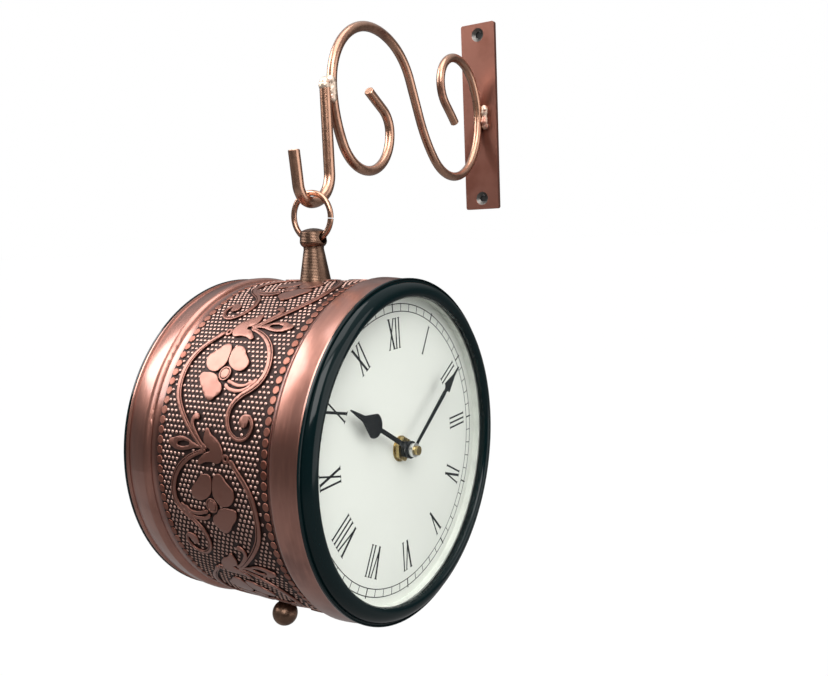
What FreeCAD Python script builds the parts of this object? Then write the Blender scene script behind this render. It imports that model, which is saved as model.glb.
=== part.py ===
import FreeCAD, Part
import math
import os

# Double sided station clock: a round drum with a dial at each end, hung by a ring from a
# scrolled wall bracket. All lengths are millimetres. The origin is the centre of the wall
# plate's back face; +X points into the wall, the front dial faces -Y and +Z is up.

V = FreeCAD.Vector

# ---- wall plate ----
PLATE_T = 3.0
PLATE_W = 25.4
PLATE_H = 126.0
PLATE_CORNER_R = 1.5
SCREW_INSET = 7.5
SCREW_HOLE_R = 2.4
SCREW_SINK_R = 4.6
SCREW_SINK_DEPTH = 2.0

# ---- scrolled rod: heights and distances from the wall of its turning points ----
ROD_R = 2.75
ROD_END_CHAMFER = 0.4
WELD_GAP = 0.2
SMALL_LOOP_TIP_X = -38.6
SMALL_LOOP_TIP_Z = -7.0
SMALL_LOOP_TIP_TURN = 134.0
SMALL_LOOP_LEFT_X = -55.6
SMALL_LOOP_LEFT_Z = 17.0
SMALL_LOOP_TOP_X = -35.5
SMALL_LOOP_TOP_Z = 35.0
LOW_BEND_X = -43.0
LOW_BEND_Z = -41.9
SLOPE_START_X = -83.0
SLOPE_START_Z = -8.0
SLOPE_END_X = -92.6
SLOPE_END_Z = 13.4
BIG_LOOP_TOP_X = -131.5
BIG_LOOP_TOP_Z = 37.0
BIG_LOOP_LEFT_X = -169.6
BIG_LOOP_LEFT_Z = 0.5
BIG_LOOP_LOW_X = -140.5
BIG_LOOP_LOW_Z = -42.4
BIG_LOOP_RIGHT_X = -116.6
BIG_LOOP_RIGHT_Z = -19.0
BIG_LOOP_TIP_X = -136.4
BIG_LOOP_TIP_Z = 1.9
BIG_LOOP_TIP_TURN = 146.0
PLATE_WELD_H = 14.0
PLATE_WELD_R = 2.1
PLATE_WELD_OUT = 1.9

# ---- hook ----
HOOK_R = 3.0
HOOK_REACH = 192.0
HOOK_LOW_Z = -60.5
HOOK_TOP_Z = 2.0
HOOK_BEND_R = 15.4
HOOK_TIP_X = -203.4
HOOK_TIP_Z = -34.6
HOOK_TIP_TURN = 96.5
HOOK_WELD_H = 10.7
HOOK_WELD_BELOW_TOP = 9.2
HOOK_WELD_R = 2.2
HOOK_WELD_OUT = 1.76

# ---- hanging ring ----
RING_WIRE_R = 1.5
RING_MEAN_R = 12.05
RING_CUT = 0.5
RING_CUT_ANGLE = -6.0
HANG_GAP = 0.3

# ---- lug, turned from bar and screwed to the drum ----
LUG_BASE_R = 8.05
LUG_BASE_H = 0.8
LUG_NECK_R = 5.25
LUG_NECK_H = 16.8
LUG_HEAD_R = 7.0
LUG_HEAD_H = 20.8
LUG_CUP_R = 3.3
LUG_CUP_SWEEP = 60.0
LUG_SHOULDER_R = 6.5
LUG_SHOULDER_H = 25.8
LUG_TOP_H = 27.5
LUG_HOLE_R = 2.9
LUG_HOLE_H = 22.45
LUG_WIRE_DROP = 1.15
STUD_R = 2.5
STUD_L = 11.0

# ---- drum: an embossed field between two round beads, with a stepped mouth at each end ----
WALL_T = 0.9
FIELD_R = 83.6
FIELD_HALF_W = 36.0
COVE_DEPTH = 0.3
COVE_L = 1.2
BEAD_RISE = 2.0
BEAD_RISE_L = 2.8
BEAD_FALL = 1.6
BEAD_FALL_L = 11.9
BEAD_BULGE = 0.35
MOUTH_STEP = 0.8
MOUTH_STEP_L = 0.5
MOUTH_L = 1.3

# ---- ball feet ----
BALL_R = 6.35
BALL_ANGLE = 25.5
BALL_SINK = 0.6
FOOT_STUD_R = 2.0
FOOT_STUD_L = 8.0

# ---- hexagon nuts and washers inside the drum ----
WASHER_T = 1.0
LUG_NUT_AF = 8.0
LUG_NUT_T = 4.0
FOOT_NUT_AF = 7.0
FOOT_NUT_T = 3.2

# ---- dial, its seat and its sleeve ----
DIAL_INSET = 4.9
DIAL_T = 0.5
DIAL_MARGIN = 0.9
SEAT_T = 1.0
SEAT_LEDGE = 7.3
SEAT_DEPTH = 13.8
SEAT_GAP = 0.1
SLEEVE_T = 1.2
SLEEVE_FLANGE_L = 3.2
SLEEVE_FLANGE_T = 0.6

# ---- bezel and glass ----
BEZEL_OVERHANG = 0.2
BEZEL_REAR_GAP = 0.2
BEZEL_RIM_T = 1.1
BEZEL_RIM_ROUND = 0.45
BEZEL_GROOVE_IN = 0.9
BEZEL_GROOVE_L = 0.6
BEZEL_GROOVE_DEPTH = 0.5
BEZEL_CROWN_IN = 6.8
BEZEL_CROWN_BULGE = 1.05
BEZEL_CROWN_H = 3.45
BEZEL_LIP_L = 1.5
BEZEL_LIP_H = 1.25
BEZEL_SKIRT_L = 4.0
BEZEL_SKIRT_T = 3.2
PUSH_FIT = 0.1
GLASS_T = 2.0
GLASS_BALL_R = 294.8
GLASS_GAP = 0.2
GLASS_LIP_GAP = 0.08
HAND_GLASS_GAP = 0.35
KEEPER_L = 1.4

# ---- quartz movement ----
CASE_CORNER_R = 5.0
CASE_WALL = 1.2
GASKET_T = 1.0
GASKET_R = 13.0
BUSH_R = 4.0
BUSH_STAND = 4.1
FIX_WASHER_R = 6.5
FIX_WASHER_T = 0.5
FIX_NUT_AF = 11.0
FIX_NUT_T = 2.4
RUN_GAP = 0.1
BATTERY_R = 7.1
BATTERY_L = 50.5
BATTERY_GAP = 0.9
BATTERY_NUB_R = 2.7
BATTERY_NUB_L = 1.0
CONTACT_T = 0.4
CONTACT_W = 8.0
CONTACT_REACH = 1.15
DRIVE_T = 6.8
DRIVE_GAP = 2.5

# ---- motion work: the gears that turn the hands ----
GEAR_MODULE = 0.35
CANNON_TEETH = 12
MINUTE_WHEEL_TEETH = 48
MINUTE_PINION_TEETH = 15
HOUR_WHEEL_TEETH = 45
KNOB_TEETH = 16
GEAR_ADDENDUM = 0.8
GEAR_DEDENDUM = 1.1
TOOTH_SHARE = 0.40
TOOTH_ROOT_SHARE = 0.58
TOOTH_TIP_SHARE = 0.18
GEAR_T = 1.0
GEAR_STEP = 0.6
ARBOR_R = 1.5
HOUR_PIPE_R = 2.45
WHEEL_POST_R = 0.9
WHEEL_DIRECTION = -45.0
KNOB_SHAFT_R = 1.6
KNOB_R = 6.0
KNOB_T = 3.0
KNOB_STAND_OFF = 1.0

# ---- hands ----
HAND_T = 0.5
HOUR_HAND_STAND = 1.6
HAND_STEP = 0.8
HOUR_ANGLE = -58.0
MINUTE_ANGLE = 54.5
HOUR_EYE_R = 4.4
HOUR_EYE_T = 1.2
HOUR_TIP_BACK = 3.0
HOUR_SPADE_BEHIND_TIP = 20.3
HOUR_SPADE_R = 5.9
HOUR_SPADE_BACK = 6.4
HOUR_SPADE_BOW = 1.4
HOUR_SPADE_FRONT = 8.9
HOUR_SHANK = 2.6
HOUR_NECK = 2.2
HOUR_POINT = 3.2
MINUTE_EYE_R = 3.45
MINUTE_EYE_BACK = 0.6
MINUTE_EYE_T = 2.2
MINUTE_TIP_IN = 18.2
MINUTE_SPADE_BEHIND_TIP = 15.8
MINUTE_SPADE_R = 3.3
MINUTE_SPADE_BACK = 3.4
MINUTE_SPADE_BOW = 1.1
MINUTE_SPADE_FRONT = 9.5
MINUTE_SHANK = 1.7
MINUTE_NECK = 2.6
MINUTE_POINT = 1.5
HAND_NUT_R = 2.3
HAND_NUT_T = 1.9
ARBOR_END_IN = 1.1
TIP_W = 0.6

# ---- values that follow from the ones above ----
PLATE_FACE_X = -PLATE_T
SCREW_SPACING = PLATE_H - 2 * SCREW_INSET
SCROLL_WALL_X = PLATE_FACE_X - WELD_GAP - ROD_R
SMALL_LOOP_TIP = V(SMALL_LOOP_TIP_X, 0, SMALL_LOOP_TIP_Z)
SMALL_LOOP_LEFT = V(SMALL_LOOP_LEFT_X, 0, SMALL_LOOP_LEFT_Z)
SMALL_LOOP_TOP = V(SMALL_LOOP_TOP_X, 0, SMALL_LOOP_TOP_Z)
LOW_BEND = V(LOW_BEND_X, 0, LOW_BEND_Z)
SLOPE_START = V(SLOPE_START_X, 0, SLOPE_START_Z)
SLOPE_END = V(SLOPE_END_X, 0, SLOPE_END_Z)
BIG_LOOP_TOP = V(BIG_LOOP_TOP_X, 0, BIG_LOOP_TOP_Z)
BIG_LOOP_LEFT = V(BIG_LOOP_LEFT_X, 0, BIG_LOOP_LEFT_Z)
BIG_LOOP_LOW = V(BIG_LOOP_LOW_X, 0, BIG_LOOP_LOW_Z)
BIG_LOOP_RIGHT = V(BIG_LOOP_RIGHT_X, 0, BIG_LOOP_RIGHT_Z)
BIG_LOOP_TIP = V(BIG_LOOP_TIP_X, 0, BIG_LOOP_TIP_Z)
STEM_X = BIG_LOOP_LEFT_X - ROD_R - HOOK_R - WELD_GAP
HOOK_TIP = V(HOOK_TIP_X, 0, HOOK_TIP_Z)
AXIS_X = -HOOK_REACH
RING_Z = HOOK_LOW_Z + HOOK_R + HANG_GAP + RING_WIRE_R - RING_MEAN_R
RING_LOW_Z = RING_Z - RING_MEAN_R
LUG_HOLE_Z = RING_LOW_Z + LUG_WIRE_DROP
AXIS_Z = LUG_HOLE_Z - LUG_HOLE_H - FIELD_R

COVE_R = FIELD_R - COVE_DEPTH
COVE_END_W = FIELD_HALF_W + COVE_L
BEAD_R = FIELD_R + BEAD_RISE
BEAD_PEAK_W = COVE_END_W + BEAD_RISE_L
BEAD_END_R = BEAD_R - BEAD_FALL
BEAD_END_W = BEAD_PEAK_W + BEAD_FALL_L
MOUTH_R = BEAD_END_R + MOUTH_STEP
MOUTH_W = BEAD_END_W + MOUTH_L
INSIDE_R = COVE_R - WALL_T
NUT_SEAT_R = INSIDE_R - WASHER_T
SEAT_R = INSIDE_R - SEAT_GAP
SEAT_INNER_R = SEAT_R - SEAT_LEDGE
DIAL_R = SEAT_R - DIAL_MARGIN
DIAL_FACE_W = MOUTH_W - DIAL_INSET
SEAT_FACE_W = DIAL_FACE_W - DIAL_T
SEAT_BACK_W = SEAT_FACE_W - SEAT_DEPTH
SLEEVE_R = DIAL_R - SLEEVE_FLANGE_L - SLEEVE_T

CASE_SIZE = BATTERY_L + 2 * (CONTACT_T + CONTACT_REACH + CASE_WALL)
CASE_DEPTH = 2 * (BATTERY_R + CASE_WALL)
CASE_FRONT_W = SEAT_FACE_W - GASKET_T
CASE_BACK_W = CASE_FRONT_W - CASE_DEPTH
COVER_FACE_W = CASE_BACK_W + CASE_WALL
CAVITY_HALF = CASE_SIZE / 2 - CASE_WALL
BATTERY_Z = BATTERY_GAP + BATTERY_R - CAVITY_HALF
BUSH_END_W = DIAL_FACE_W + BUSH_STAND
BUSH_BORE_R = HOUR_PIPE_R + RUN_GAP
HOUR_PIPE_BORE_R = ARBOR_R + RUN_GAP
DRIVE_FACE_W = COVER_FACE_W + DRIVE_T
DRIVE_LOW = BATTERY_Z + BATTERY_R + DRIVE_GAP
CANNON_W = DRIVE_FACE_W + GEAR_STEP
MINUTE_PINION_W = CANNON_W + GEAR_T
HOUR_WHEEL_W = MINUTE_PINION_W + 2 * GEAR_STEP
GEAR_CENTRES = GEAR_MODULE * (CANNON_TEETH + MINUTE_WHEEL_TEETH) / 2
KNOB_CENTRES = GEAR_MODULE * (MINUTE_WHEEL_TEETH + KNOB_TEETH) / 2
WHEEL_AT = V(math.sin(math.radians(WHEEL_DIRECTION)), 0, math.cos(math.radians(WHEEL_DIRECTION)))

HOUR_HAND_W = BUSH_END_W + HOUR_HAND_STAND
MINUTE_HAND_W = HOUR_HAND_W + HOUR_EYE_T + HAND_STEP
MINUTE_EYE_W = MINUTE_HAND_W - MINUTE_EYE_BACK
HAND_NUT_W = MINUTE_EYE_W + MINUTE_EYE_T
ARBOR_END_W = HAND_NUT_W + HAND_NUT_T - ARBOR_END_IN
MINUTE_TIP = SLEEVE_R - MINUTE_TIP_IN
MINUTE_SPADE_AT = MINUTE_TIP - MINUTE_SPADE_BEHIND_TIP
HOUR_TIP = MINUTE_TIP - HOUR_TIP_BACK
HOUR_SPADE_AT = HOUR_TIP - HOUR_SPADE_BEHIND_TIP

SKIRT_R = BEAD_END_R - WALL_T - PUSH_FIT
GLASS_SEAT_R = SKIRT_R - BEZEL_SKIRT_T
GLASS_R = GLASS_SEAT_R - GLASS_GAP
GLASS_CENTRE_W = (MINUTE_HAND_W + HAND_T + HAND_GLASS_GAP
                  - math.sqrt((GLASS_BALL_R - GLASS_T) ** 2 - MINUTE_TIP ** 2))
BEZEL_R = MOUTH_R + BEZEL_OVERHANG
BEZEL_GROOVE_R = BEZEL_R - BEZEL_GROOVE_IN
BEZEL_CROWN_R = BEZEL_R - BEZEL_CROWN_IN
BEZEL_OPENING_R = SLEEVE_R - BEZEL_LIP_L
BEZEL_LIP_W = GLASS_CENTRE_W + math.sqrt(GLASS_BALL_R ** 2 - BEZEL_OPENING_R ** 2) + GLASS_LIP_GAP
BEZEL_FRONT_W = BEZEL_LIP_W + BEZEL_CROWN_H


# ---- helpers ----
def ring_point(r, w):
    """A point at radius r and distance w in front of the drum's middle plane."""
    return V(AXIS_X + r, -w, AXIS_Z)


def turned(points, bulges=None):
    """Revolve a closed (radius, w) outline about the clock's axis.

    bulges maps the index of a side to the middle point of its arc."""
    bulges = bulges or {}
    edges = []
    for i, (r, w) in enumerate(points):
        start = ring_point(r, w)
        end = ring_point(*points[(i + 1) % len(points)])
        if i in bulges:
            edges.append(Part.Arc(start, ring_point(*bulges[i]), end).toShape())
        else:
            edges.append(Part.makeLine(start, end))
    return Part.Face(Part.Wire(edges)).revolve(V(AXIS_X, 0, AXIS_Z), V(0, 1, 0), 360)


def disc(r, w_back, w_front, at=V(0, 0, 0)):
    """A cylinder along the clock's axis direction, at an offset from that axis."""
    base = V(AXIS_X + at.x, -w_back, AXIS_Z + at.z)
    return Part.makeCylinder(r, w_front - w_back, base, V(0, -1, 0))


def slab(x0, x1, z0, z1, w_back, w_front):
    """A box given by its sides about the clock's axis and its two w planes."""
    base = V(AXIS_X + x0, -w_front, AXIS_Z + z0)
    return Part.makeBox(x1 - x0, w_front - w_back, z1 - z0, base)


def plate_outline(points, w_back, w_front):
    """A flat plate whose (x, z) outline stands about the clock's axis."""
    corners = [V(AXIS_X + x, -w_back, AXIS_Z + z) for x, z in points]
    face = Part.Face(Part.makePolygon(corners + corners[:1]))
    return face.extrude(V(0, w_back - w_front, 0))


def hexagon(across_flats, w_back, w_front):
    corner_r = across_flats / math.sqrt(3)
    turns = [math.radians(60 * i) for i in range(6)]
    return plate_outline([(corner_r * math.sin(a), corner_r * math.cos(a)) for a in turns], w_back, w_front)


def gear(teeth, w_back, w_front, at=V(0, 0, 0), phase=0.0):
    """A spur gear with straight-sided teeth; phase is the turn of tooth 0 in degrees."""
    pitch_r = GEAR_MODULE * teeth / 2
    levels = [(pitch_r - GEAR_DEDENDUM * GEAR_MODULE, TOOTH_ROOT_SHARE), (pitch_r, TOOTH_SHARE),
              (pitch_r + GEAR_ADDENDUM * GEAR_MODULE, TOOTH_TIP_SHARE)]
    outline = []
    for tooth in range(teeth):
        middle = phase + 360.0 * tooth / teeth
        sides = [(r, -share) for r, share in levels] + [(r, share) for r, share in reversed(levels)]
        for r, share in sides:
            a = math.radians(middle + 180.0 * share / teeth)
            outline.append((at.x + r * math.sin(a), at.z + r * math.cos(a)))
    return plate_outline(outline, w_back, w_front)


def unit(angle):
    """A direction in the bracket's plane, turned from +X towards +Z."""
    a = math.radians(angle)
    return V(math.cos(a), 0, math.sin(a))


def arc_from(start, direction, end):
    """The arc that leaves start along direction and reaches end, with its end direction."""
    chord = end - start
    along = direction.dot(chord)
    across = chord - direction * along
    if across.Length < 1e-6:
        return Part.makeLine(start, end)
    half = math.atan2(across.Length, along)
    radius = chord.Length / (2 * math.sin(half))
    side = across.normalize()
    middle = start + direction * (radius * math.sin(half)) + side * (radius * (1 - math.cos(half)))
    return Part.Arc(start, middle, end).toShape()


def bend(start, start_dir, end, end_dir):
    """Two tangent arcs that join start to end along the given directions."""
    gap = end - start
    total = start_dir + end_dir
    a = 2 * (1 - start_dir.dot(end_dir))
    b = gap.dot(total)
    reach = (-b + math.sqrt(b * b + a * gap.dot(gap))) / a
    joint = (start + end + (start_dir - end_dir) * reach) * 0.5
    back = arc_from(end, end_dir * -1, joint)
    return [arc_from(start, start_dir, joint), back]


def rod(edges, radius, start, direction):
    """A round rod along tangent edges, with its two ends chamfered."""
    path = Part.Wire(Part.__sortEdges__(edges))
    section = Part.Wire([Part.makeCircle(radius, start, direction)])
    solid = path.makePipeShell([section], True, False)
    ends = [f.Edges[0] for f in solid.Faces if isinstance(f.Surface, Part.Plane)]
    return solid.makeChamfer(ROD_END_CHAMFER, ends)


def drum_ray(angle):
    """The direction from the clock's axis at an angle from straight down towards the wall."""
    a = math.radians(angle)
    return V(math.sin(a), 0, -math.cos(a))


# ---- bracket ----
def wall_plate():
    plate = Part.makeBox(PLATE_T, PLATE_W, PLATE_H, V(PLATE_FACE_X, -PLATE_W / 2, -PLATE_H / 2))
    corners = [e for e in plate.Edges if abs(e.tangentAt(0).x) > 0.99]
    plate = plate.makeFillet(PLATE_CORNER_R, corners)
    for side in (-1, 1):
        centre = V(PLATE_FACE_X, 0, side * SCREW_SPACING / 2)
        plate = plate.cut(Part.makeCylinder(SCREW_HOLE_R, PLATE_T, centre, V(1, 0, 0)))
        sink = Part.makeCone(SCREW_SINK_R, SCREW_HOLE_R, SCREW_SINK_DEPTH, centre, V(1, 0, 0))
        plate = plate.cut(sink)
    return plate


def scroll_arm():
    wall_point = V(SCROLL_WALL_X, 0, 0)
    right, up = V(1, 0, 0), V(0, 0, 1)
    left, down = right * -1, up * -1
    slope = (SLOPE_END - SLOPE_START).normalize()
    tip_dir = unit(SMALL_LOOP_TIP_TURN)
    stops = [(SMALL_LOOP_TIP, tip_dir), (SMALL_LOOP_LEFT, up), (SMALL_LOOP_TOP, right), (wall_point, down),
             (LOW_BEND, left), (SLOPE_START, slope), (SLOPE_END, slope), (BIG_LOOP_TOP, left),
             (BIG_LOOP_LEFT, down), (BIG_LOOP_LOW, right), (BIG_LOOP_RIGHT, up),
             (BIG_LOOP_TIP, unit(BIG_LOOP_TIP_TURN))]
    edges = []
    for (p, p_dir), (q, q_dir) in zip(stops, stops[1:]):
        if p is SLOPE_START:
            edges.append(Part.makeLine(p, q))
        else:
            edges += bend(p, p_dir, q, q_dir)
    return rod(edges, ROD_R, SMALL_LOOP_TIP, tip_dir)


def hook_rod():
    right, up = V(1, 0, 0), V(0, 0, 1)
    low = V(AXIS_X, 0, HOOK_LOW_Z)
    top = V(STEM_X, 0, HOOK_TOP_Z)
    stem_end = V(STEM_X, 0, HOOK_LOW_Z + HOOK_BEND_R)
    edges = [Part.makeLine(top, stem_end)] + bend(stem_end, up * -1, low, right * -1)
    edges += bend(low, right * -1, HOOK_TIP, unit(HOOK_TIP_TURN))
    return rod(edges, HOOK_R, top, up * -1)


def plate_weld(plate, arm):
    """The bead that bridges the rod and the plate, on both sides of the rod."""
    centre_x = (PLATE_FACE_X + SCROLL_WALL_X) / 2
    bead = None
    for side in (-1, 1):
        base = V(centre_x, side * PLATE_WELD_OUT, -PLATE_WELD_H / 2)
        lump = Part.makeCylinder(PLATE_WELD_R, PLATE_WELD_H, base)
        bead = lump if bead is None else bead.fuse(lump)
    return bead.cut(plate).cut(arm)


def hook_weld(arm, hook):
    """The brazed bead along the line where the hook's stem lies against the scroll."""
    line_x = (STEM_X + HOOK_R + BIG_LOOP_LEFT_X - ROD_R) / 2
    bead = None
    for side in (-1, 1):
        base = V(line_x, side * HOOK_WELD_OUT, HOOK_TOP_Z - HOOK_WELD_BELOW_TOP)
        lump = Part.makeCylinder(HOOK_WELD_R, HOOK_WELD_H, base)
        bead = lump if bead is None else bead.fuse(lump)
    return bead.cut(arm).cut(hook)


# ---- ring ----
def hanging_ring():
    centre = V(AXIS_X, 0, RING_Z)
    ring = Part.makeTorus(RING_MEAN_R, RING_WIRE_R, centre, V(1, 0, 0))
    across = 4 * RING_WIRE_R
    cut = Part.makeBox(across, across, RING_CUT, V(-across / 2, -across / 2, -RING_CUT / 2))
    cut.translate(V(0, -RING_MEAN_R, 0))
    cut.rotate(V(0, 0, 0), V(1, 0, 0), -RING_CUT_ANGLE)
    cut.translate(centre)
    return ring.cut(cut)


# ---- drum and what is fixed to it ----
def drum_shell():
    outer = [(FIELD_R, 0), (FIELD_R, FIELD_HALF_W), (COVE_R, FIELD_HALF_W + COVE_DEPTH), (COVE_R, COVE_END_W),
             (BEAD_R, BEAD_PEAK_W), (BEAD_END_R, BEAD_END_W), (MOUTH_R, BEAD_END_W + MOUTH_STEP_L),
             (MOUTH_R, MOUTH_W)]
    inner = [(MOUTH_R - WALL_T, MOUTH_W), (BEAD_END_R - WALL_T, BEAD_END_W + MOUTH_STEP_L),
             (BEAD_END_R - WALL_T, BEAD_END_W), (BEAD_R - WALL_T, BEAD_PEAK_W), (INSIDE_R, COVE_END_W),
             (INSIDE_R, 0)]
    rise = ((COVE_R + BEAD_R) / 2 + BEAD_BULGE, (COVE_END_W + BEAD_PEAK_W) / 2 - BEAD_BULGE)
    fall = ((BEAD_R + BEAD_END_R) / 2 + BEAD_BULGE, (BEAD_PEAK_W + BEAD_END_W) / 2)
    bulges = {3: rise, 4: fall, 10: (fall[0] - WALL_T, fall[1]), 11: (rise[0] - WALL_T, rise[1])}
    half = turned(outer + inner, bulges)
    other = half.copy()
    other.rotate(V(AXIS_X, 0, AXIS_Z), V(0, 0, 1), 180)
    shell = half.fuse(other).removeSplitter()
    centre = V(AXIS_X, 0, AXIS_Z)
    shell = shell.cut(Part.makeCylinder(STUD_R + RUN_GAP, BEAD_R, centre, V(0, 0, 1)))
    for side in (-1, 1):
        foot_hole = Part.makeCylinder(FOOT_STUD_R + RUN_GAP, BEAD_R, centre, drum_ray(side * BALL_ANGLE))
        shell = shell.cut(foot_hole)
    return shell


def lug_body():
    """The lug about its own axis, without its stud; height 0 is the top of the drum."""
    foot = math.sqrt(FIELD_R ** 2 - LUG_BASE_R ** 2) - FIELD_R - LUG_BASE_H
    cup_centre = V(LUG_HEAD_R - LUG_CUP_R, 0, LUG_HEAD_H)
    cup_start = cup_centre + unit(-LUG_CUP_SWEEP) * LUG_CUP_R
    cup = cup_centre + unit(-LUG_CUP_SWEEP / 2) * LUG_CUP_R
    points = [(0, foot), (LUG_BASE_R, foot), (LUG_BASE_R, LUG_BASE_H), (LUG_NECK_R, LUG_NECK_H),
              (cup_start.x, cup_start.z), (LUG_HEAD_R, LUG_HEAD_H), (LUG_SHOULDER_R, LUG_SHOULDER_H),
              (0, LUG_TOP_H)]
    corners = [V(r, 0, h) for r, h in points]
    rise = LUG_TOP_H - LUG_SHOULDER_H
    crown_r = (LUG_SHOULDER_R ** 2 + rise ** 2) / (2 * rise)
    crown_tilt = math.degrees(math.asin(LUG_SHOULDER_R / crown_r))
    crown = V(0, 0, LUG_TOP_H - crown_r) + unit(90 - crown_tilt / 2) * crown_r
    edges = [Part.makeLine(p, q) for p, q in zip(corners[:4], corners[1:5])]
    edges.append(Part.Arc(corners[4], cup, corners[5]).toShape())
    edges.append(Part.makeLine(corners[5], corners[6]))
    edges.append(Part.Arc(corners[6], crown, corners[7]).toShape())
    edges.append(Part.makeLine(corners[7], corners[0]))
    return Part.Face(Part.Wire(edges)).revolve(V(0, 0, 0), V(0, 0, 1), 360)


def hanger_lug():
    lug = lug_body()
    lug.translate(V(AXIS_X, 0, AXIS_Z + FIELD_R))
    drum = Part.makeCylinder(FIELD_R, 4 * LUG_BASE_R, V(AXIS_X, -2 * LUG_BASE_R, AXIS_Z), V(0, 1, 0))
    hole = Part.makeCylinder(LUG_HOLE_R, 4 * LUG_HEAD_R, V(AXIS_X, -2 * LUG_HEAD_R, LUG_HOLE_Z), V(0, 1, 0))
    stud = Part.makeCylinder(STUD_R, STUD_L + LUG_NECK_H / 4, V(AXIS_X, 0, AXIS_Z + FIELD_R - STUD_L))
    return lug.cut(drum).cut(hole).fuse(stud)


def nut_on_stud(across_flats, thickness, bore_r):
    """A nut about +Z, drawn up against the washer inside the drum."""
    corner_r = across_flats / math.sqrt(3)
    low = NUT_SEAT_R - thickness
    corners = []
    for i in range(7):
        a = math.radians(60 * i)
        corners.append(V(corner_r * math.cos(a), corner_r * math.sin(a), low))
    blank = Part.Face(Part.makePolygon(corners)).extrude(V(0, 0, thickness))
    return blank.cut(Part.makeCylinder(bore_r, thickness, V(0, 0, low)))


def washer_on_stud(inner_r):
    """A curved washer about +Z that lies against the inside of the drum."""
    blank = Part.makeCylinder(2.2 * inner_r, 2 * WASHER_T, V(0, 0, NUT_SEAT_R))
    drum = Part.makeCylinder(INSIDE_R, 6 * inner_r, V(0, -3 * inner_r, 0), V(0, 1, 0))
    return blank.common(drum).cut(Part.makeCylinder(inner_r, INSIDE_R))


def placed(shape, angle):
    """Turn a part built about +Z to an angle from straight down, and move it to the clock's axis."""
    shape = shape.copy()
    shape.rotate(V(0, 0, 0), V(0, 1, 0), 180 - angle)
    shape.translate(V(AXIS_X, 0, AXIS_Z))
    return shape


def ball_foot():
    """A ball about +Z, seated on the drum, with the stud that holds it."""
    ball = Part.makeSphere(BALL_R, V(0, 0, FIELD_R + BALL_R - BALL_SINK))
    drum = Part.makeCylinder(FIELD_R, 4 * BALL_R, V(0, -2 * BALL_R, 0), V(0, 1, 0))
    stud = Part.makeCylinder(FOOT_STUD_R, FOOT_STUD_L + BALL_R, V(0, 0, FIELD_R - FOOT_STUD_L))
    return ball.cut(drum).fuse(stud).removeSplitter()


def both_feet(shape):
    """The same part at each foot, either side of straight down."""
    return Part.makeCompound([placed(shape, side * BALL_ANGLE) for side in (-1, 1)])


# ---- dial end: everything below is built for the front and turned for the rear ----
def seat_ring():
    return turned([(SEAT_R - SEAT_T, SEAT_BACK_W), (SEAT_R, SEAT_BACK_W), (SEAT_R, SEAT_FACE_W),
                   (SEAT_INNER_R, SEAT_FACE_W), (SEAT_INNER_R, SEAT_FACE_W - SEAT_T),
                   (SEAT_R - SEAT_T, SEAT_FACE_W - SEAT_T)])


def dial():
    return disc(DIAL_R, SEAT_FACE_W, DIAL_FACE_W).cut(disc(BUSH_R + RUN_GAP, SEAT_FACE_W, DIAL_FACE_W))


def glass_back(r):
    """The w of the glass's inner face at radius r."""
    return GLASS_CENTRE_W + math.sqrt((GLASS_BALL_R - GLASS_T) ** 2 - r ** 2)


def dial_sleeve():
    front = glass_back(SLEEVE_R + SLEEVE_T) - GLASS_GAP
    flange_w = DIAL_FACE_W + SLEEVE_FLANGE_T
    return turned([(SLEEVE_R, DIAL_FACE_W), (DIAL_R, DIAL_FACE_W), (DIAL_R, flange_w),
                   (SLEEVE_R + SLEEVE_T, flange_w), (SLEEVE_R + SLEEVE_T, front), (SLEEVE_R, front)])


def bezel():
    rear_w = MOUTH_W + BEZEL_REAR_GAP
    rim_w = rear_w + BEZEL_RIM_T
    groove_w = rim_w - BEZEL_GROOVE_DEPTH
    lip_top_w = BEZEL_LIP_W + BEZEL_LIP_H
    points = [(GLASS_SEAT_R, MOUTH_W - BEZEL_SKIRT_L), (SKIRT_R, MOUTH_W - BEZEL_SKIRT_L), (SKIRT_R, rear_w),
              (BEZEL_R, rear_w), (BEZEL_R, rim_w), (BEZEL_R - BEZEL_RIM_ROUND, rim_w + BEZEL_RIM_ROUND / 2),
              (BEZEL_GROOVE_R, groove_w), (BEZEL_GROOVE_R - BEZEL_GROOVE_L, groove_w),
              (BEZEL_CROWN_R, BEZEL_FRONT_W), (BEZEL_OPENING_R, lip_top_w), (BEZEL_OPENING_R, BEZEL_LIP_W),
              (GLASS_SEAT_R, BEZEL_LIP_W)]
    slope_r, slope_w = (BEZEL_GROOVE_R - BEZEL_GROOVE_L + BEZEL_CROWN_R) / 2, (groove_w + BEZEL_FRONT_W) / 2
    lip_r, lip_w = (BEZEL_CROWN_R + BEZEL_OPENING_R) / 2, (BEZEL_FRONT_W + lip_top_w) / 2
    bulges = {7: (slope_r + BEZEL_CROWN_BULGE / 2, slope_w + BEZEL_CROWN_BULGE),
              8: (lip_r - BEZEL_CROWN_BULGE / 2, lip_w + BEZEL_CROWN_BULGE / 2)}
    return turned(points, bulges)


def glass():
    centre = ring_point(0, GLASS_CENTRE_W)
    outer = Part.makeSphere(GLASS_BALL_R, centre)
    inner = Part.makeSphere(GLASS_BALL_R - GLASS_T, centre)
    column = disc(GLASS_R, glass_back(GLASS_R) - GLASS_T, GLASS_CENTRE_W + GLASS_BALL_R + GLASS_T)
    return column.common(outer).cut(inner)


def glass_keeper():
    front = glass_back(GLASS_R)
    inner_r = SLEEVE_R + SLEEVE_T + GLASS_GAP
    back = front - KEEPER_L
    return turned([(inner_r, back), (GLASS_R, back), (GLASS_R, front), (inner_r, front)])


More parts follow.
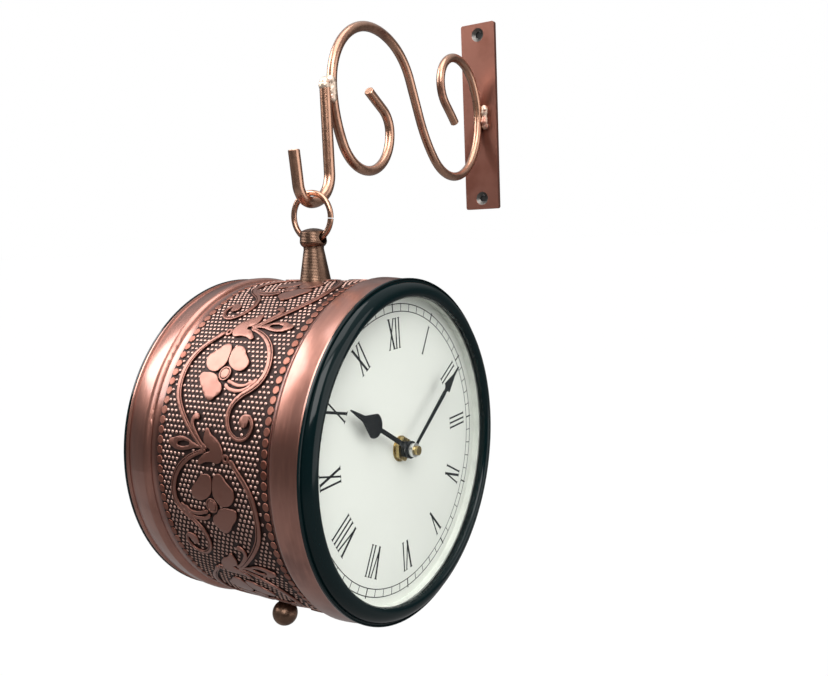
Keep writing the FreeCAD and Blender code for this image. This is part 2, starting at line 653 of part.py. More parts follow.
def rounded_square(half, corner_r, w_back, w_front):
    """A square block about the clock's axis with four rounded corners."""
    block = slab(-half, half, -half, half, w_back, w_front)
    return block.makeFillet(corner_r, [e for e in block.Edges if abs(e.tangentAt(0).y) > 0.99])


def case_cavity():
    """The space inside the movement's case."""
    return rounded_square(CAVITY_HALF, CASE_CORNER_R - CASE_WALL, COVER_FACE_W, CASE_FRONT_W - CASE_WALL)


def movement_case():
    outer = rounded_square(CASE_SIZE / 2, CASE_CORNER_R, COVER_FACE_W, CASE_FRONT_W)
    case = outer.cut(case_cavity()).fuse(disc(BUSH_R, CASE_FRONT_W - CASE_WALL, BUSH_END_W))
    return case.removeSplitter().cut(disc(BUSH_BORE_R, COVER_FACE_W, BUSH_END_W))


def knob_at():
    return WHEEL_AT * (GEAR_CENTRES + KNOB_CENTRES)


def movement_cover():
    cover = rounded_square(CASE_SIZE / 2, CASE_CORNER_R, CASE_BACK_W, COVER_FACE_W)
    bay = slab(-BATTERY_L / 2, BATTERY_L / 2, BATTERY_Z - BATTERY_R, BATTERY_Z + BATTERY_R,
               CASE_BACK_W, COVER_FACE_W)
    shaft_hole = disc(KNOB_SHAFT_R + RUN_GAP, CASE_BACK_W, COVER_FACE_W, knob_at())
    return cover.cut(bay).cut(shaft_hole)


def battery():
    w = (COVER_FACE_W + CASE_FRONT_W - CASE_WALL) / 2
    body_l = BATTERY_L - BATTERY_NUB_L
    left = V(AXIS_X - BATTERY_L / 2, -w, AXIS_Z + BATTERY_Z)
    body = Part.makeCylinder(BATTERY_R, body_l, left, V(1, 0, 0))
    nub = Part.makeCylinder(BATTERY_NUB_R, BATTERY_L, left, V(1, 0, 0))
    return body.fuse(nub).removeSplitter()


def battery_contacts():
    """The two spring plates at the battery's ends, each with a dimple that presses on it."""
    w = (COVER_FACE_W + CASE_FRONT_W - CASE_WALL) / 2
    half = CONTACT_W / 2
    plates = []
    for side in (-1, 1):
        x = sorted((side * CAVITY_HALF, side * (CAVITY_HALF - CONTACT_T)))
        plate = slab(x[0], x[1], BATTERY_Z - half, BATTERY_Z + half, w - half, w + half)
        base = V(AXIS_X + side * (CAVITY_HALF - CONTACT_T), -w, AXIS_Z + BATTERY_Z)
        dimple = Part.makeCone(half / 2, half / 4, CONTACT_REACH, base, V(-side, 0, 0))
        plates.append(plate.fuse(dimple).removeSplitter())
    return Part.makeCompound(plates)


def drive_unit():
    """The sealed block with the stepping motor and its reducing wheels, and the wheel's post."""
    block = slab(DRIVE_LOW, CAVITY_HALF, DRIVE_LOW, CAVITY_HALF, COVER_FACE_W, DRIVE_FACE_W)
    block = block.common(case_cavity()).cut(disc(KNOB_R, COVER_FACE_W, DRIVE_FACE_W, knob_at()))
    block = block.cut(disc(ARBOR_R + RUN_GAP, DRIVE_FACE_W - DRIVE_T / 2, DRIVE_FACE_W))
    post_end = CASE_FRONT_W - CASE_WALL
    post = disc(WHEEL_POST_R, DRIVE_FACE_W, post_end, WHEEL_AT * GEAR_CENTRES)
    return block.fuse(post)


def minute_arbor():
    """The centre arbor with its pinion; the minute hand is pressed on its end."""
    arbor = disc(ARBOR_R, DRIVE_FACE_W - DRIVE_T / 2 + RUN_GAP, ARBOR_END_W)
    return arbor.fuse(gear(CANNON_TEETH, CANNON_W, CANNON_W + GEAR_T)).removeSplitter()


def wheel_phase():
    """The minute wheel's turn that puts a gap of it opposite a tooth of the cannon pinion."""
    towards = WHEEL_DIRECTION + 180
    pinion_offset = (WHEEL_DIRECTION % (360.0 / CANNON_TEETH)) * CANNON_TEETH / MINUTE_WHEEL_TEETH
    return towards + 180.0 / MINUTE_WHEEL_TEETH + pinion_offset


def minute_wheel():
    at = WHEEL_AT * GEAR_CENTRES
    wheel = gear(MINUTE_WHEEL_TEETH, CANNON_W, CANNON_W + GEAR_T, at, wheel_phase())
    top_w = HOUR_WHEEL_W + GEAR_T + GEAR_STEP / 2
    pinion = gear(MINUTE_PINION_TEETH, MINUTE_PINION_W, top_w, at, WHEEL_DIRECTION + 180)
    bore = disc(WHEEL_POST_R + RUN_GAP, CANNON_W, top_w, at)
    return wheel.fuse(pinion).removeSplitter().cut(bore)


def hour_wheel():
    """The hour wheel and the pipe that carries the hour hand."""
    phase = WHEEL_DIRECTION + 180.0 / HOUR_WHEEL_TEETH
    wheel = gear(HOUR_WHEEL_TEETH, HOUR_WHEEL_W, HOUR_WHEEL_W + GEAR_T, V(0, 0, 0), phase)
    pipe_end = HOUR_HAND_W + HOUR_EYE_T
    pipe = disc(HOUR_PIPE_R, HOUR_WHEEL_W, pipe_end)
    return wheel.fuse(pipe).removeSplitter().cut(disc(HOUR_PIPE_BORE_R, HOUR_WHEEL_W, pipe_end))


def set_knob():
    """The time setting knob behind the case, its shaft and the gear on it."""
    at = knob_at()
    back_w = CASE_BACK_W - KNOB_STAND_OFF
    knob = disc(KNOB_R, back_w - KNOB_T, back_w, at)
    shaft = disc(KNOB_SHAFT_R, back_w, CANNON_W + GEAR_T, at)
    wheel_tooth = wheel_phase() - WHEEL_DIRECTION
    offset = (wheel_tooth % (360.0 / MINUTE_WHEEL_TEETH)) * MINUTE_WHEEL_TEETH / KNOB_TEETH
    phase = WHEEL_DIRECTION + 180 + 180.0 / KNOB_TEETH - offset
    return knob.fuse(shaft).fuse(gear(KNOB_TEETH, CANNON_W, CANNON_W + GEAR_T, at, phase)).removeSplitter()


def gasket():
    return disc(GASKET_R, CASE_FRONT_W, SEAT_FACE_W).cut(disc(BUSH_R + RUN_GAP, CASE_FRONT_W, SEAT_FACE_W))


def fixing_washer():
    w0, w1 = DIAL_FACE_W, DIAL_FACE_W + FIX_WASHER_T
    return disc(FIX_WASHER_R, w0, w1).cut(disc(BUSH_R + RUN_GAP, w0, w1))


def fixing_nut():
    w0 = DIAL_FACE_W + FIX_WASHER_T
    nut = hexagon(FIX_NUT_AF, w0, w0 + FIX_NUT_T).common(disc(FIX_NUT_AF * 0.555, w0, w0 + FIX_NUT_T))
    return nut.cut(disc(BUSH_R, w0, w0 + FIX_NUT_T))


def hand_blade(right_side, w_back, angle):
    """A flat hand that points at 12 and is then turned, from the outline of its right side.

    Each entry is (x, z, bow): a point, and how far the side that leads to it bows outwards."""
    def at(x, z):
        return V(AXIS_X + x, -w_back, AXIS_Z + z)
    edges = []
    for sign in (1, -1):
        for (x0, z0, _), (x1, z1, bow) in zip(right_side, right_side[1:]):
            if bow:
                length = math.hypot(x1 - x0, z1 - z0)
                mid_x = (x0 + x1) / 2 + bow * (z1 - z0) / length
                mid_z = (z0 + z1) / 2 - bow * (x1 - x0) / length
                arc = Part.Arc(at(sign * x0, z0), at(sign * mid_x, mid_z), at(sign * x1, z1))
                edges.append(arc.toShape())
            else:
                edges.append(Part.makeLine(at(sign * x0, z0), at(sign * x1, z1)))
    for x, z, _ in (right_side[0], right_side[-1]):
        edges.append(Part.makeLine(at(x, z), at(-x, z)))
    blade = Part.Face(Part.Wire(Part.__sortEdges__(edges))).extrude(V(0, -HAND_T, 0))
    blade.rotate(V(AXIS_X, 0, AXIS_Z), V(0, 1, 0), angle)
    return blade


def hour_hand():
    side = [(HOUR_SHANK / 2, 0, 0), (HOUR_NECK / 2, HOUR_SPADE_AT - HOUR_SPADE_BACK, 0),
            (HOUR_SPADE_R, HOUR_SPADE_AT, HOUR_SPADE_BOW),
            (HOUR_POINT / 2, HOUR_SPADE_AT + HOUR_SPADE_FRONT, 0), (TIP_W / 2, HOUR_TIP, 0)]
    front_w = HOUR_HAND_W + HOUR_EYE_T
    hand = hand_blade(side, HOUR_HAND_W + (HOUR_EYE_T - HAND_T) / 2, HOUR_ANGLE)
    hand = hand.fuse(disc(HOUR_EYE_R, HOUR_HAND_W, front_w)).removeSplitter()
    return hand.cut(disc(HOUR_PIPE_R, HOUR_HAND_W, front_w))


def minute_hand():
    side = [(MINUTE_SHANK / 2, 0, 0), (MINUTE_NECK / 2, MINUTE_SPADE_AT - MINUTE_SPADE_BACK, 0),
            (MINUTE_SPADE_R, MINUTE_SPADE_AT, -MINUTE_SPADE_BOW),
            (MINUTE_POINT / 2, MINUTE_SPADE_AT + MINUTE_SPADE_FRONT, 0), (TIP_W / 2, MINUTE_TIP, 0)]
    hand = hand_blade(side, MINUTE_HAND_W, MINUTE_ANGLE)
    hand = hand.fuse(disc(MINUTE_EYE_R, MINUTE_EYE_W, HAND_NUT_W)).removeSplitter()
    return hand.cut(disc(ARBOR_R, MINUTE_EYE_W, HAND_NUT_W))


def hand_nut():
    return disc(HAND_NUT_R, HAND_NUT_W, HAND_NUT_W + HAND_NUT_T).cut(disc(ARBOR_R, HAND_NUT_W, ARBOR_END_W))


def turned_round(shape):
    """The same part at the rear dial."""
    shape = shape.copy()
    shape.rotate(V(AXIS_X, 0, AXIS_Z), V(0, 0, 1), 180)
    return shape


def build():
    plate, arm, hook = wall_plate(), scroll_arm(), hook_rod()
    foot_washer = washer_on_stud(FOOT_STUD_R + RUN_GAP)
    foot_nut = nut_on_stud(FOOT_NUT_AF, FOOT_NUT_T, FOOT_STUD_R)
    parts = {
        "wall_plate": plate,
        "scroll_arm": arm,
        "plate_weld": plate_weld(plate, arm),
        "hook_rod": hook,
        "hook_weld": hook_weld(arm, hook),
        "hanging_ring": hanging_ring(),
        "drum_shell": drum_shell(),
        "hanger_lug": hanger_lug(),
        "lug_washer": placed(washer_on_stud(STUD_R + RUN_GAP), 180),
        "lug_nut": placed(nut_on_stud(LUG_NUT_AF, LUG_NUT_T, STUD_R), 180),
        "ball_feet": both_feet(ball_foot()),
        "foot_washers": both_feet(foot_washer),
        "foot_nuts": both_feet(foot_nut),
    }
    ends = {
        "dial_seat": seat_ring, "dial": dial, "dial_sleeve": dial_sleeve, "bezel": bezel, "glass": glass,
        "glass_keeper": glass_keeper, "movement_case": movement_case, "movement_cover": movement_cover,
        "battery": battery, "battery_contacts": battery_contacts, "drive_unit": drive_unit,
        "movement_gasket": gasket, "fixing_washer": fixing_washer, "fixing_nut": fixing_nut,
        "minute_arbor": minute_arbor, "minute_wheel": minute_wheel, "hour_wheel": hour_wheel,
        "set_knob": set_knob, "hour_hand": hour_hand, "minute_hand": minute_hand, "hand_nut": hand_nut,
    }
    for name, make in ends.items():
        front = make()
        parts["front_" + name] = front
        parts["rear_" + name] = turned_round(front)
    return parts


os.makedirs("parts", exist_ok=True)
for node, shape in build().items():
    shape.exportStep("parts/%s.step" % node)
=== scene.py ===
"""The looks of a double sided station clock on its scrolled bracket.

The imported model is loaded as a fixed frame. The embossed vine, its dotted ground, the border
scales, the dial print and the brazed welds are added to it, every node gets its finish, and a
plain studio is set up. Lengths in the settings and tables below are millimetres, apart from the
studio's, which are metres.
"""

import math
import random

import bpy
import numpy as np
from mathutils import Matrix, Vector


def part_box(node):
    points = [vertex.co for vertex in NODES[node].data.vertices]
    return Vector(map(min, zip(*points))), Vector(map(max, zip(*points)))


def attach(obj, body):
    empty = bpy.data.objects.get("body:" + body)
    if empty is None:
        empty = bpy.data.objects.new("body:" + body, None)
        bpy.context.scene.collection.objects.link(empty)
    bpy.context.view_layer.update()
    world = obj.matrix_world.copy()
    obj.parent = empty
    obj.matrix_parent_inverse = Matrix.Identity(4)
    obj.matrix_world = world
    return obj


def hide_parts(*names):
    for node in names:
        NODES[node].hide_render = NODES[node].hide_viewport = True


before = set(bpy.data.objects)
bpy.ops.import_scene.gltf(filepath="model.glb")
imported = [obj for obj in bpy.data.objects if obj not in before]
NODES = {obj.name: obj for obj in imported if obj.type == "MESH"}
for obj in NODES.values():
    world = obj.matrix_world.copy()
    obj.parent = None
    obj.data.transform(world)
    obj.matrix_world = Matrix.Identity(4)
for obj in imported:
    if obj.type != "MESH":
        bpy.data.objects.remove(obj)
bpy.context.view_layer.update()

bl_info = {
    "name": "Station clock looks",
    "version": (1, 0, 0),
    "blender": (4, 5, 0),
    "location": "View3D > Sidebar > Clock",
    "description": "Embossed band, dial print, welds, finishes and studio of a double sided station clock",
    "category": "Object",
}

MM = 0.001
MERGE_WITHIN = 0.002 * MM
DIAL_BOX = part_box("front_dial")
AXIS = Vector(((DIAL_BOX[0].x + DIAL_BOX[1].x) / 2, 0, (DIAL_BOX[0].z + DIAL_BOX[1].z) / 2))
DIAL_FACE = -DIAL_BOX[0].y

# ---- the screws' places and the radii between which a screw's seat and its hole end ----
SCREW_INSET = 7.5
SEAT_EDGE = (4.35, 4.6)
HOLE_EDGE = (2.35, 2.5)


# ---- settings ----
def colour_setting(name, description, default):
    return bpy.props.FloatVectorProperty(
        name=name, description=description, subtype="COLOR", size=3, min=0, max=1, default=default)


def number_setting(name, description, default, unit="NONE"):
    return bpy.props.FloatProperty(name=name, description=description, unit=unit, default=default)


class ClockColours(bpy.types.PropertyGroup):
    """Colours of the clock's finishes."""
    copper: colour_setting(
        "Copper", "Rubbed antique copper of the drum's beads, the vine and the plate", (0.38, 0.165, 0.122))
    # Besides the patina in patches, this colour darkens the drum's cove beside each bead, and there it is
    # painted shade.
    copper_dark: colour_setting(
        "Dark copper", "Oxidised copper in hollows and patches", (0.15, 0.048, 0.032))
    rod: colour_setting(
        "Rod", "Paler rubbed copper of the bracket's rods and the ring", (0.47, 0.255, 0.168))
    crown: colour_setting("Crown", "Rubbed pale crowns of the ground's dots", (0.60, 0.38, 0.32))
    ground: colour_setting("Ground", "Blackened ground between the embossed forms", (0.026, 0.011, 0.009))
    bronze: colour_setting(
        "Bronze", "Dark bronze of the turned lug and the ball feet", (0.15, 0.090, 0.062))
    braze: colour_setting("Braze", "Bright metal of the welds", (0.70, 0.56, 0.45))
    # The bezel colour is black enamel; its teal tint is a painted reflection.
    enamel: colour_setting("Bezel", "Black enamel of the bezels", (0.0015, 0.0075, 0.0085))
    dial: colour_setting("Dial", "Cream card of the dials", (0.885, 0.915, 0.84))
    ink: colour_setting("Ink", "Black of the dial print and the hands", (0.012, 0.013, 0.015))
    brass: colour_setting("Brass", "Brass of the nuts, washers and arbors", (0.50, 0.38, 0.17))


class BandSizes(bpy.types.PropertyGroup):
    """Sizes of the embossed band."""
    ground_radius: number_setting("Ground radius", "Radius of the drum's plain field, in mm", 83.6)
    field_half_width: number_setting("Field half width", "Half the width of the dark field, in mm", 34.0)
    shift: number_setting("Shift", "How far the pattern sits behind the middle of the drum, in mm", -1.9)
    map_radius: number_setting(
        "Pattern radius", "Radius at which the pattern's lengths are true, in mm", 84.0)
    relief: number_setting("Relief", "How far the vine stands above the pattern radius, in mm", 0.2)
    pitch: number_setting("Half wave", "Distance from one flower to the next, in mm", 60.3)
    first_flower: number_setting("First flower", "Distance from the seam to the first flower, in mm", 0.6)
    dot_radius: number_setting("Dot", "Radius of a dot of the ground, in mm", 0.94)
    dot_step: number_setting("Dot column step", "Distance between columns of dots, in mm", 2.4)
    dot_rise: number_setting("Dot row step", "Distance between dots in a column, in mm", 2.6)
    dots_half_width: number_setting(
        "Dotted half width", "Where the dots end, from the middle of the drum, in mm", 30.4)
    scale_at: number_setting(
        "Scale row", "Distance of a row of scales from the middle of the pattern, in mm", 32.3)
    scales: bpy.props.IntProperty(
        name="Scales", description="Number of scales in a row", default=114)


class PrintSizes(bpy.types.PropertyGroup):
    """Sizes of the dial's print."""
    numeral_foot: number_setting("Numeral foot", "Radius of the numerals' inner ends, in mm", 49.4)
    numeral_height: number_setting("Numeral height", "Height of the numerals, in mm", 15.4)
    turn: number_setting("Turn", "Turn of the print, anticlockwise, in degrees", 1.3)
    numeral_shift: bpy.props.FloatVectorProperty(
        name="Numeral shift", size=2, default=(0.6, 0.8),
        description="How far the ring of numerals is printed to the right and up, in mm")
    track_inner: number_setting("Track inner", "Radius of the minute track's inner line, in mm", 68.6)
    track_outer: number_setting("Track outer", "Radius of the minute track's outer line, in mm", 72.4)
    line: number_setting("Fine line", "Thickness of the print's fine lines, in mm", 0.44)
    ink_height: number_setting("Ink height", "How far the print stands on the dial, in mm", 0.03)


class StudioSettings(bpy.types.PropertyGroup):
    """The camera's place and the lamps' strength."""
    camera_at: bpy.props.FloatVectorProperty(
        name="Camera", description="The camera's place", subtype="TRANSLATION", unit="LENGTH", size=3,
        default=(-0.5249, -0.2717, -0.0793))
    camera_yaw: number_setting("Yaw", "Heading from +Y towards +X, in degrees", 57.4385)
    camera_pitch: number_setting("Pitch", "Angle above the horizon, in degrees", -7.125)
    camera_roll: number_setting("Roll", "Turn about the line of sight, in degrees", -2.309)
    lens: number_setting("Lens", "Focal length on a 36 mm wide sensor, in mm", 35.72)
    key: number_setting("Key lamp", "Power of the large softbox", 16.0, "POWER")
    fill: number_setting("Fill lamp", "Power of the weaker softbox", 8.0, "POWER")
    rear: number_setting("Rear lamp", "Power of the softbox behind the clock", 16.0, "POWER")
    sky: number_setting("Room light", "Strength of the light from all round", 0.85)
    floor_drop: number_setting("Floor", "Height of the floor", -0.55, "LENGTH")


GROUPS = {"clock_colours": ClockColours, "clock_band": BandSizes, "clock_print": PrintSizes,
          "clock_studio": StudioSettings}


# ---- shader arithmetic ----
class Value:
    """A shader value that takes part in Python arithmetic; each operation adds its Math node."""

    def __init__(self, finish, socket):
        self.finish, self.socket = finish, socket

    def _math(self, operation, first, second=None):
        sockets = {0: first} if second is None else {0: first, 1: second}
        return self.finish.node("ShaderNodeMath", {"operation": operation}, sockets)

    def __add__(self, other):
        return self._math("ADD", self, other)

    def __sub__(self, other):
        return self._math("SUBTRACT", self, other)

    def __rsub__(self, other):
        return self._math("SUBTRACT", other, self)

    def __mul__(self, other):
        return self._math("MULTIPLY", self, other)

    def __pow__(self, other):
        return self._math("POWER", self, other)

    __radd__, __rmul__ = __add__, __mul__

    def size(self):
        return self._math("ABSOLUTE", self)

    def root(self):
        return self._math("SQRT", self)

    def step(self, start, end):
        """0 below start and 1 above end, with a smooth rise between."""
        return self.finish.node("ShaderNodeMapRange", {"interpolation_type": "SMOOTHSTEP"},
                                {0: self, 1: start, 2: end, 3: 0.0, 4: 1.0})


class Finish:
    """One material, built node by node."""

    def __init__(self, name):
        self.material = bpy.data.materials.new(name)
        self.material.use_nodes = True
        self.tree = self.material.node_tree
        self.tree.nodes.clear()

    def node(self, kind, settings=None, sockets=None, output=0):
        node = self.tree.nodes.new(kind)
        for key, value in (settings or {}).items():
            setattr(node, key, value)
        for key, value in (sockets or {}).items():
            if isinstance(value, Value):
                self.tree.links.new(value.socket, node.inputs[key])
            else:
                node.inputs[key].default_value = value
        return Value(self, node.outputs[output])

    def place(self, scale=(1, 1, 1), shift=(0, 0, 0)):
        """Object coordinates in millimetres about the clock's axis, or stretched by scale."""
        coordinates = self.node("ShaderNodeTexCoord", output=3)
        return self.node("ShaderNodeMapping", {}, {
            "Vector": coordinates, "Location": shift, "Scale": [1000 * s for s in scale]})

    def noise(self, size, detail=4.0, stretch=(1, 1, 1)):
        """Soft noise from 0 to 1 with features of about that size in millimetres."""
        return self.node("ShaderNodeTexNoise", {}, {
            "Vector": self.place([s / size for s in stretch]), "Scale": 1.0, "Detail": detail})

    def mixed(self, factor, first, second):
        """Two colours, or a colour and a colour value, mixed by factor."""
        sockets = {0: factor, 6: first, 7: second}
        for key in (6, 7):
            if not isinstance(sockets[key], Value):
                sockets[key] = rgba(sockets[key])
        return self.node("ShaderNodeMix", {"data_type": "RGBA"}, sockets, output=2)

    def bump(self, height, strength, distance_mm):
        return self.node("ShaderNodeBump", {}, {
            "Strength": strength, "Distance": distance_mm * MM, "Height": height})

    def parts(self, spot):
        """The spot's x, y and z."""
        split = self.node("ShaderNodeSeparateXYZ", {}, {0: spot})
        return [Value(self, output) for output in split.socket.node.outputs]

    def axis_parts(self):
        """x, y and z from the clock's axis, in millimetres."""
        return self.parts(self.place((1, 1, 1), (-AXIS.x / MM, 0, -AXIS.z / MM)))

    def done(self, **sockets):
        """Ends the material in a Principled surface with these sockets, and returns it."""
        values = {key.replace("_", " "): value for key, value in sockets.items()}
        surface = self.node("ShaderNodeBsdfPrincipled", {}, values)
        output = self.tree.nodes.new("ShaderNodeOutputMaterial")
        self.tree.links.new(surface.socket, output.inputs["Surface"])
        return self.material


def rgba(colour):
    return (*tuple(colour)[:3], 1.0)


def tint(colour, factor):
    """The colour made lighter or darker by factor."""
    return tuple(min(1.0, c * factor) for c in tuple(colour)[:3])


# ---- modelling helpers ----
def deselect():
    if bpy.context.object and bpy.context.object.mode != "OBJECT":
        bpy.ops.object.mode_set(mode="OBJECT")
    bpy.ops.object.select_all(action="DESELECT")


def pick(*objects):
    """Select these objects alone; the last one is active."""
    deselect()
    for obj in objects:
        obj.select_set(True)
    bpy.context.view_layer.objects.active = objects[-1]
    return objects[-1]


def joined(objects, name):
    pick(*objects)
    if len(objects) > 1:
        bpy.ops.object.join()
    whole = bpy.context.object
    whole.name = whole.data.name = name
    return whole


def settle(obj):
    """Puts the object's place, turn and size into its mesh."""
    pick(obj)
    bpy.ops.object.transform_apply(location=True, rotation=True, scale=True)
    return obj


def modified(obj, kind, **values):
    """Adds a modifier with these values and applies it."""
    pick(obj)
    modifier = obj.modifiers.new(kind.title(), kind)
    for key, value in values.items():
        setattr(modifier, key, value)
    bpy.ops.object.modifier_apply(modifier=modifier.name)
    return obj


def outward(obj):
    """Merges doubles and points every face outwards."""
    pick(obj)
    bpy.ops.object.mode_set(mode="EDIT")
    bpy.ops.mesh.select_all(action="SELECT")
    bpy.ops.mesh.remove_doubles(threshold=MERGE_WITHIN)
    bpy.ops.mesh.normals_make_consistent(inside=False)
    bpy.ops.object.mode_set(mode="OBJECT")
    return obj


def smooth(obj, degrees=40):
    pick(obj)
    bpy.ops.object.shade_smooth_by_angle(angle=math.radians(degrees))
    return obj


def dress(obj, material):
    obj.data.materials.clear()
    obj.data.materials.append(material)
    for polygon in obj.data.polygons:
        polygon.material_index = 0
    return obj


def traced(*outlines):
    """Smooth closed curves through points in the XY plane, in millimetres, as one object."""
    curve = bpy.data.curves.new("trace", "CURVE")
    curve.dimensions = "2D"
    for points in outlines:
        spline = curve.splines.new("BEZIER")
        spline.bezier_points.add(len(points) - 1)
        spline.use_cyclic_u = True
        spline.resolution_u = 4
        for point, (x, y) in zip(spline.bezier_points, points):
            point.co = (x * MM, y * MM, 0)
            point.handle_left_type = point.handle_right_type = "AUTO"
    obj = bpy.data.objects.new("trace", curve)
    bpy.context.scene.collection.objects.link(obj)
    return obj


def as_mesh(obj):
    pick(obj)
    bpy.ops.object.convert(target="MESH")
    return bpy.context.object


def leaf_plate(outline, relief, holes=(), edge=0.14):
    """A flat form with a narrow rounded rim, sunk in the ground by as much as it stands out."""
    obj = traced(outline, *holes)
    obj.data.fill_mode = "BOTH"
    obj.data.extrude = (relief - edge) * MM
    obj.data.bevel_depth = edge * MM
    obj.data.bevel_resolution = 1
    obj.data.offset = -edge * MM
    return as_mesh(obj)


# ---- the vine: one half wave about its flower, x along the band and y across it ----
PETALS = (
    ((12.0, 1.5), (14.1, 0.3), (14.4, -2.8), (13.1, -5.6), (10.5, -7.7), (8.3, -10.2), (5.8, -11.8),
     (3.5, -11.2), (2.0, -9.5), (1.7, -6.6), (2.4, -4.2), (4.1, -1.2), (6.3, 0.7), (9.2, 1.4)),
    ((12.1, 2.4), (14.5, 3.7), (15.5, 6.1), (14.6, 8.4), (12.7, 10.0), (10.8, 12.3), (8.9, 14.3),
     (6.4, 14.7), (3.8, 13.6), (1.7, 11.4), (0.7, 8.5), (0.8, 5.6), (2.4, 3.8), (4.3, 2.2), (7.1, 1.7),
     (9.6, 2.0)),
    ((-1.5, 4.1), (-0.2, 7.4), (0.0, 11.2), (-0.6, 14.3), (-2.7, 14.6), (-5.5, 13.2), (-7.9, 10.9),
     (-11.0, 8.4), (-13.0, 5.4), (-12.7, 3.0), (-11.2, 1.5), (-9.7, -0.5), (-7.3, -1.0), (-5.0, 0.2),
     (-3.7, 2.3)),
)
TULIP = ((35.0, -2.6), (32.5, 0.5), (30.7, 4.1), (28.3, 6.8), (25.8, 8.2), (23.5, 8.5), (21.4, 7.8),
         (19.9, 5.6), (20.3, 1.8), (19.8, -2.0), (18.8, -6.6), (22.0, -4.6), (23.9, -2.2), (25.4, 0.8),
         (26.5, -1.3), (28.0, -3.0), (30.3, -3.7), (32.8, -3.4))
LEAF = ((27.2, -26.0), (28.9, -22.6), (29.9, -18.7), (29.6, -14.7), (28.0, -10.5), (26.3, -7.4),
        (25.2, -10.2), (24.1, -14.0), (23.6, -19.0), (24.6, -23.2))
LEAF_SLIT = ((26.3, -20.4), (25.4, -17.6), (25.8, -14.6), (27.0, -12.2), (28.0, -14.8), (27.8, -18.0))
CURL = ((-17.9, -21.4), (-17.6, -19.2), (-18.6, -17.1), (-20.8, -16.2), (-22.8, -16.9), (-23.6, -18.8),
        (-22.7, -20.7), (-20.9, -21.3), (-19.4, -21.9))
FERRULE = ((24.4, 10.2), (23.9, 8.9), (22.4, 8.4), (20.7, 9.2), (20.3, 10.7), (21.0, 12.0), (22.5, 12.3),
           (24.0, 11.6))
STALKS = (
    (((-3.4, -3.5), (-4.2, -6.2), (-5.0, -9.0), (-5.2, -12.0), (-4.6, -15.0), (-2.6, -18.0)),
     (0.9, 1.5, 1.6, 1.5, 1.3, 1.0)),
    (((-5.0, -2.5), (-6.8, -4.9), (-7.6, -8.2), (-7.6, -11.6), (-6.6, -15.0), (-4.4, -17.8),
      (-1.6, -20.2)),
     (0.9, 1.6, 1.7, 1.6, 1.5, 1.4, 1.2)),
    (((39.7, -8.9), (38.9, -11.4), (36.6, -12.2), (33.6, -10.6), (30.6, -7.9), (27.8, -4.8),
      (25.9, -1.8)),
     (2.6, 2.2, 1.9, 1.9, 1.7, 1.3, 0.9)),
    (((26.3, -7.8), (26.1, -5.4), (25.7, -3.0)),
     (0.9, 0.8, 0.7)),
)
GROOVED_STALKS = (
    (((25.3, -2.4), (23.5, -6.8), (21.2, -11.8), (17.6, -16.8), (13.2, -20.6), (8.0, -23.0), (2.6, -23.8),
      (-2.4, -22.4), (-6.2, -18.8), (-9.8, -13.6), (-14.4, -9.8), (-19.4, -8.7), (-24.0, -10.0),
      (-27.4, -13.1), (-28.8, -16.9), (-27.8, -20.9), (-24.9, -23.3), (-21.7, -23.7), (-19.3, -22.5),
      (-18.2, -20.6)),
     (1.3, 1.9, 2.3, 2.6, 2.8, 2.8, 2.8, 2.8, 2.6, 2.4, 2.3, 2.2, 2.1, 2.0, 1.9, 1.8, 1.7, 1.6, 1.5,
      1.4)),
    (((21.9, 12.9), (17.6, 17.0), (13.0, 21.2), (8.0, 24.2), (2.6, 25.8), (-3.3, 26.2), (-8.5, 25.6),
      (-13.5, 23.9), (-18.0, 21.0), (-22.4, 17.3), (-26.4, 13.4), (-30.3, 9.2), (-33.4, 5.4),
      (-35.2, 2.6)),
     (1.5, 2.0, 2.4, 2.7, 2.8, 2.8, 2.8, 2.8, 2.7, 2.5, 2.3, 2.0, 1.6, 1.0)),
)
FERRULE_HOLE_R = 0.8
FERRULE_HOLE_AT = (22.4, 10.4)
FLOWER_EYE_R = 3.5
EYE_GROOVE_R = (2.45, 2.75)
# How far along the band a half wave's forms reach from its flower.
HALF_WAVE_REACH = 48
# A stalk's groove lies between these shares of the stalk's width from its middle.
GROOVE = (0.14, 0.29)


def ribbon(points, widths, left=-0.5, right=0.5):
    """The closed outline of a band along the points, between two shares of its width."""
    line = np.array(points)
    run = np.gradient(line, axis=0)
    run /= np.linalg.norm(run, axis=1)[:, None]
    normal = np.stack([-run[:, 1], run[:, 0]], axis=1) * np.array(widths)[:, None]
    return [tuple(p) for p in np.vstack([line + normal * left, (line + normal * right)[::-1]])]


def round_outline(radius, count=10, centre=(0, 0)):
    turns = [2 * math.pi * i / count for i in range(count)]
    return [(centre[0] + radius * math.cos(a), centre[1] + radius * math.sin(a)) for a in turns]


def half_waves(band):
    """The centre of each flower from the seam, and whether its half wave is mirrored."""
    length = 2 * math.pi * band.map_radius
    count = int((length - band.first_flower) / band.pitch) + 2
    return [(band.first_flower + n * band.pitch, n % 2 == 0) for n in range(count)]


def on_drum(band, s, mirror=False):
    """The matrix that lays a piece bent about the drum's radius at the arc length s from the seam."""
    turn = s / band.map_radius
    outwards = Vector((-math.sin(turn), 0, -math.cos(turn)))
    along = Vector((-math.cos(turn), 0, math.sin(turn)))
    across = Vector((0, -1 if mirror else 1, 0))
    matrix = Matrix((along, -outwards, across)).transposed().to_4x4()
    matrix.translation = AXIS + outwards * band.map_radius * MM + Vector((0, band.shift * MM, 0))
    return matrix


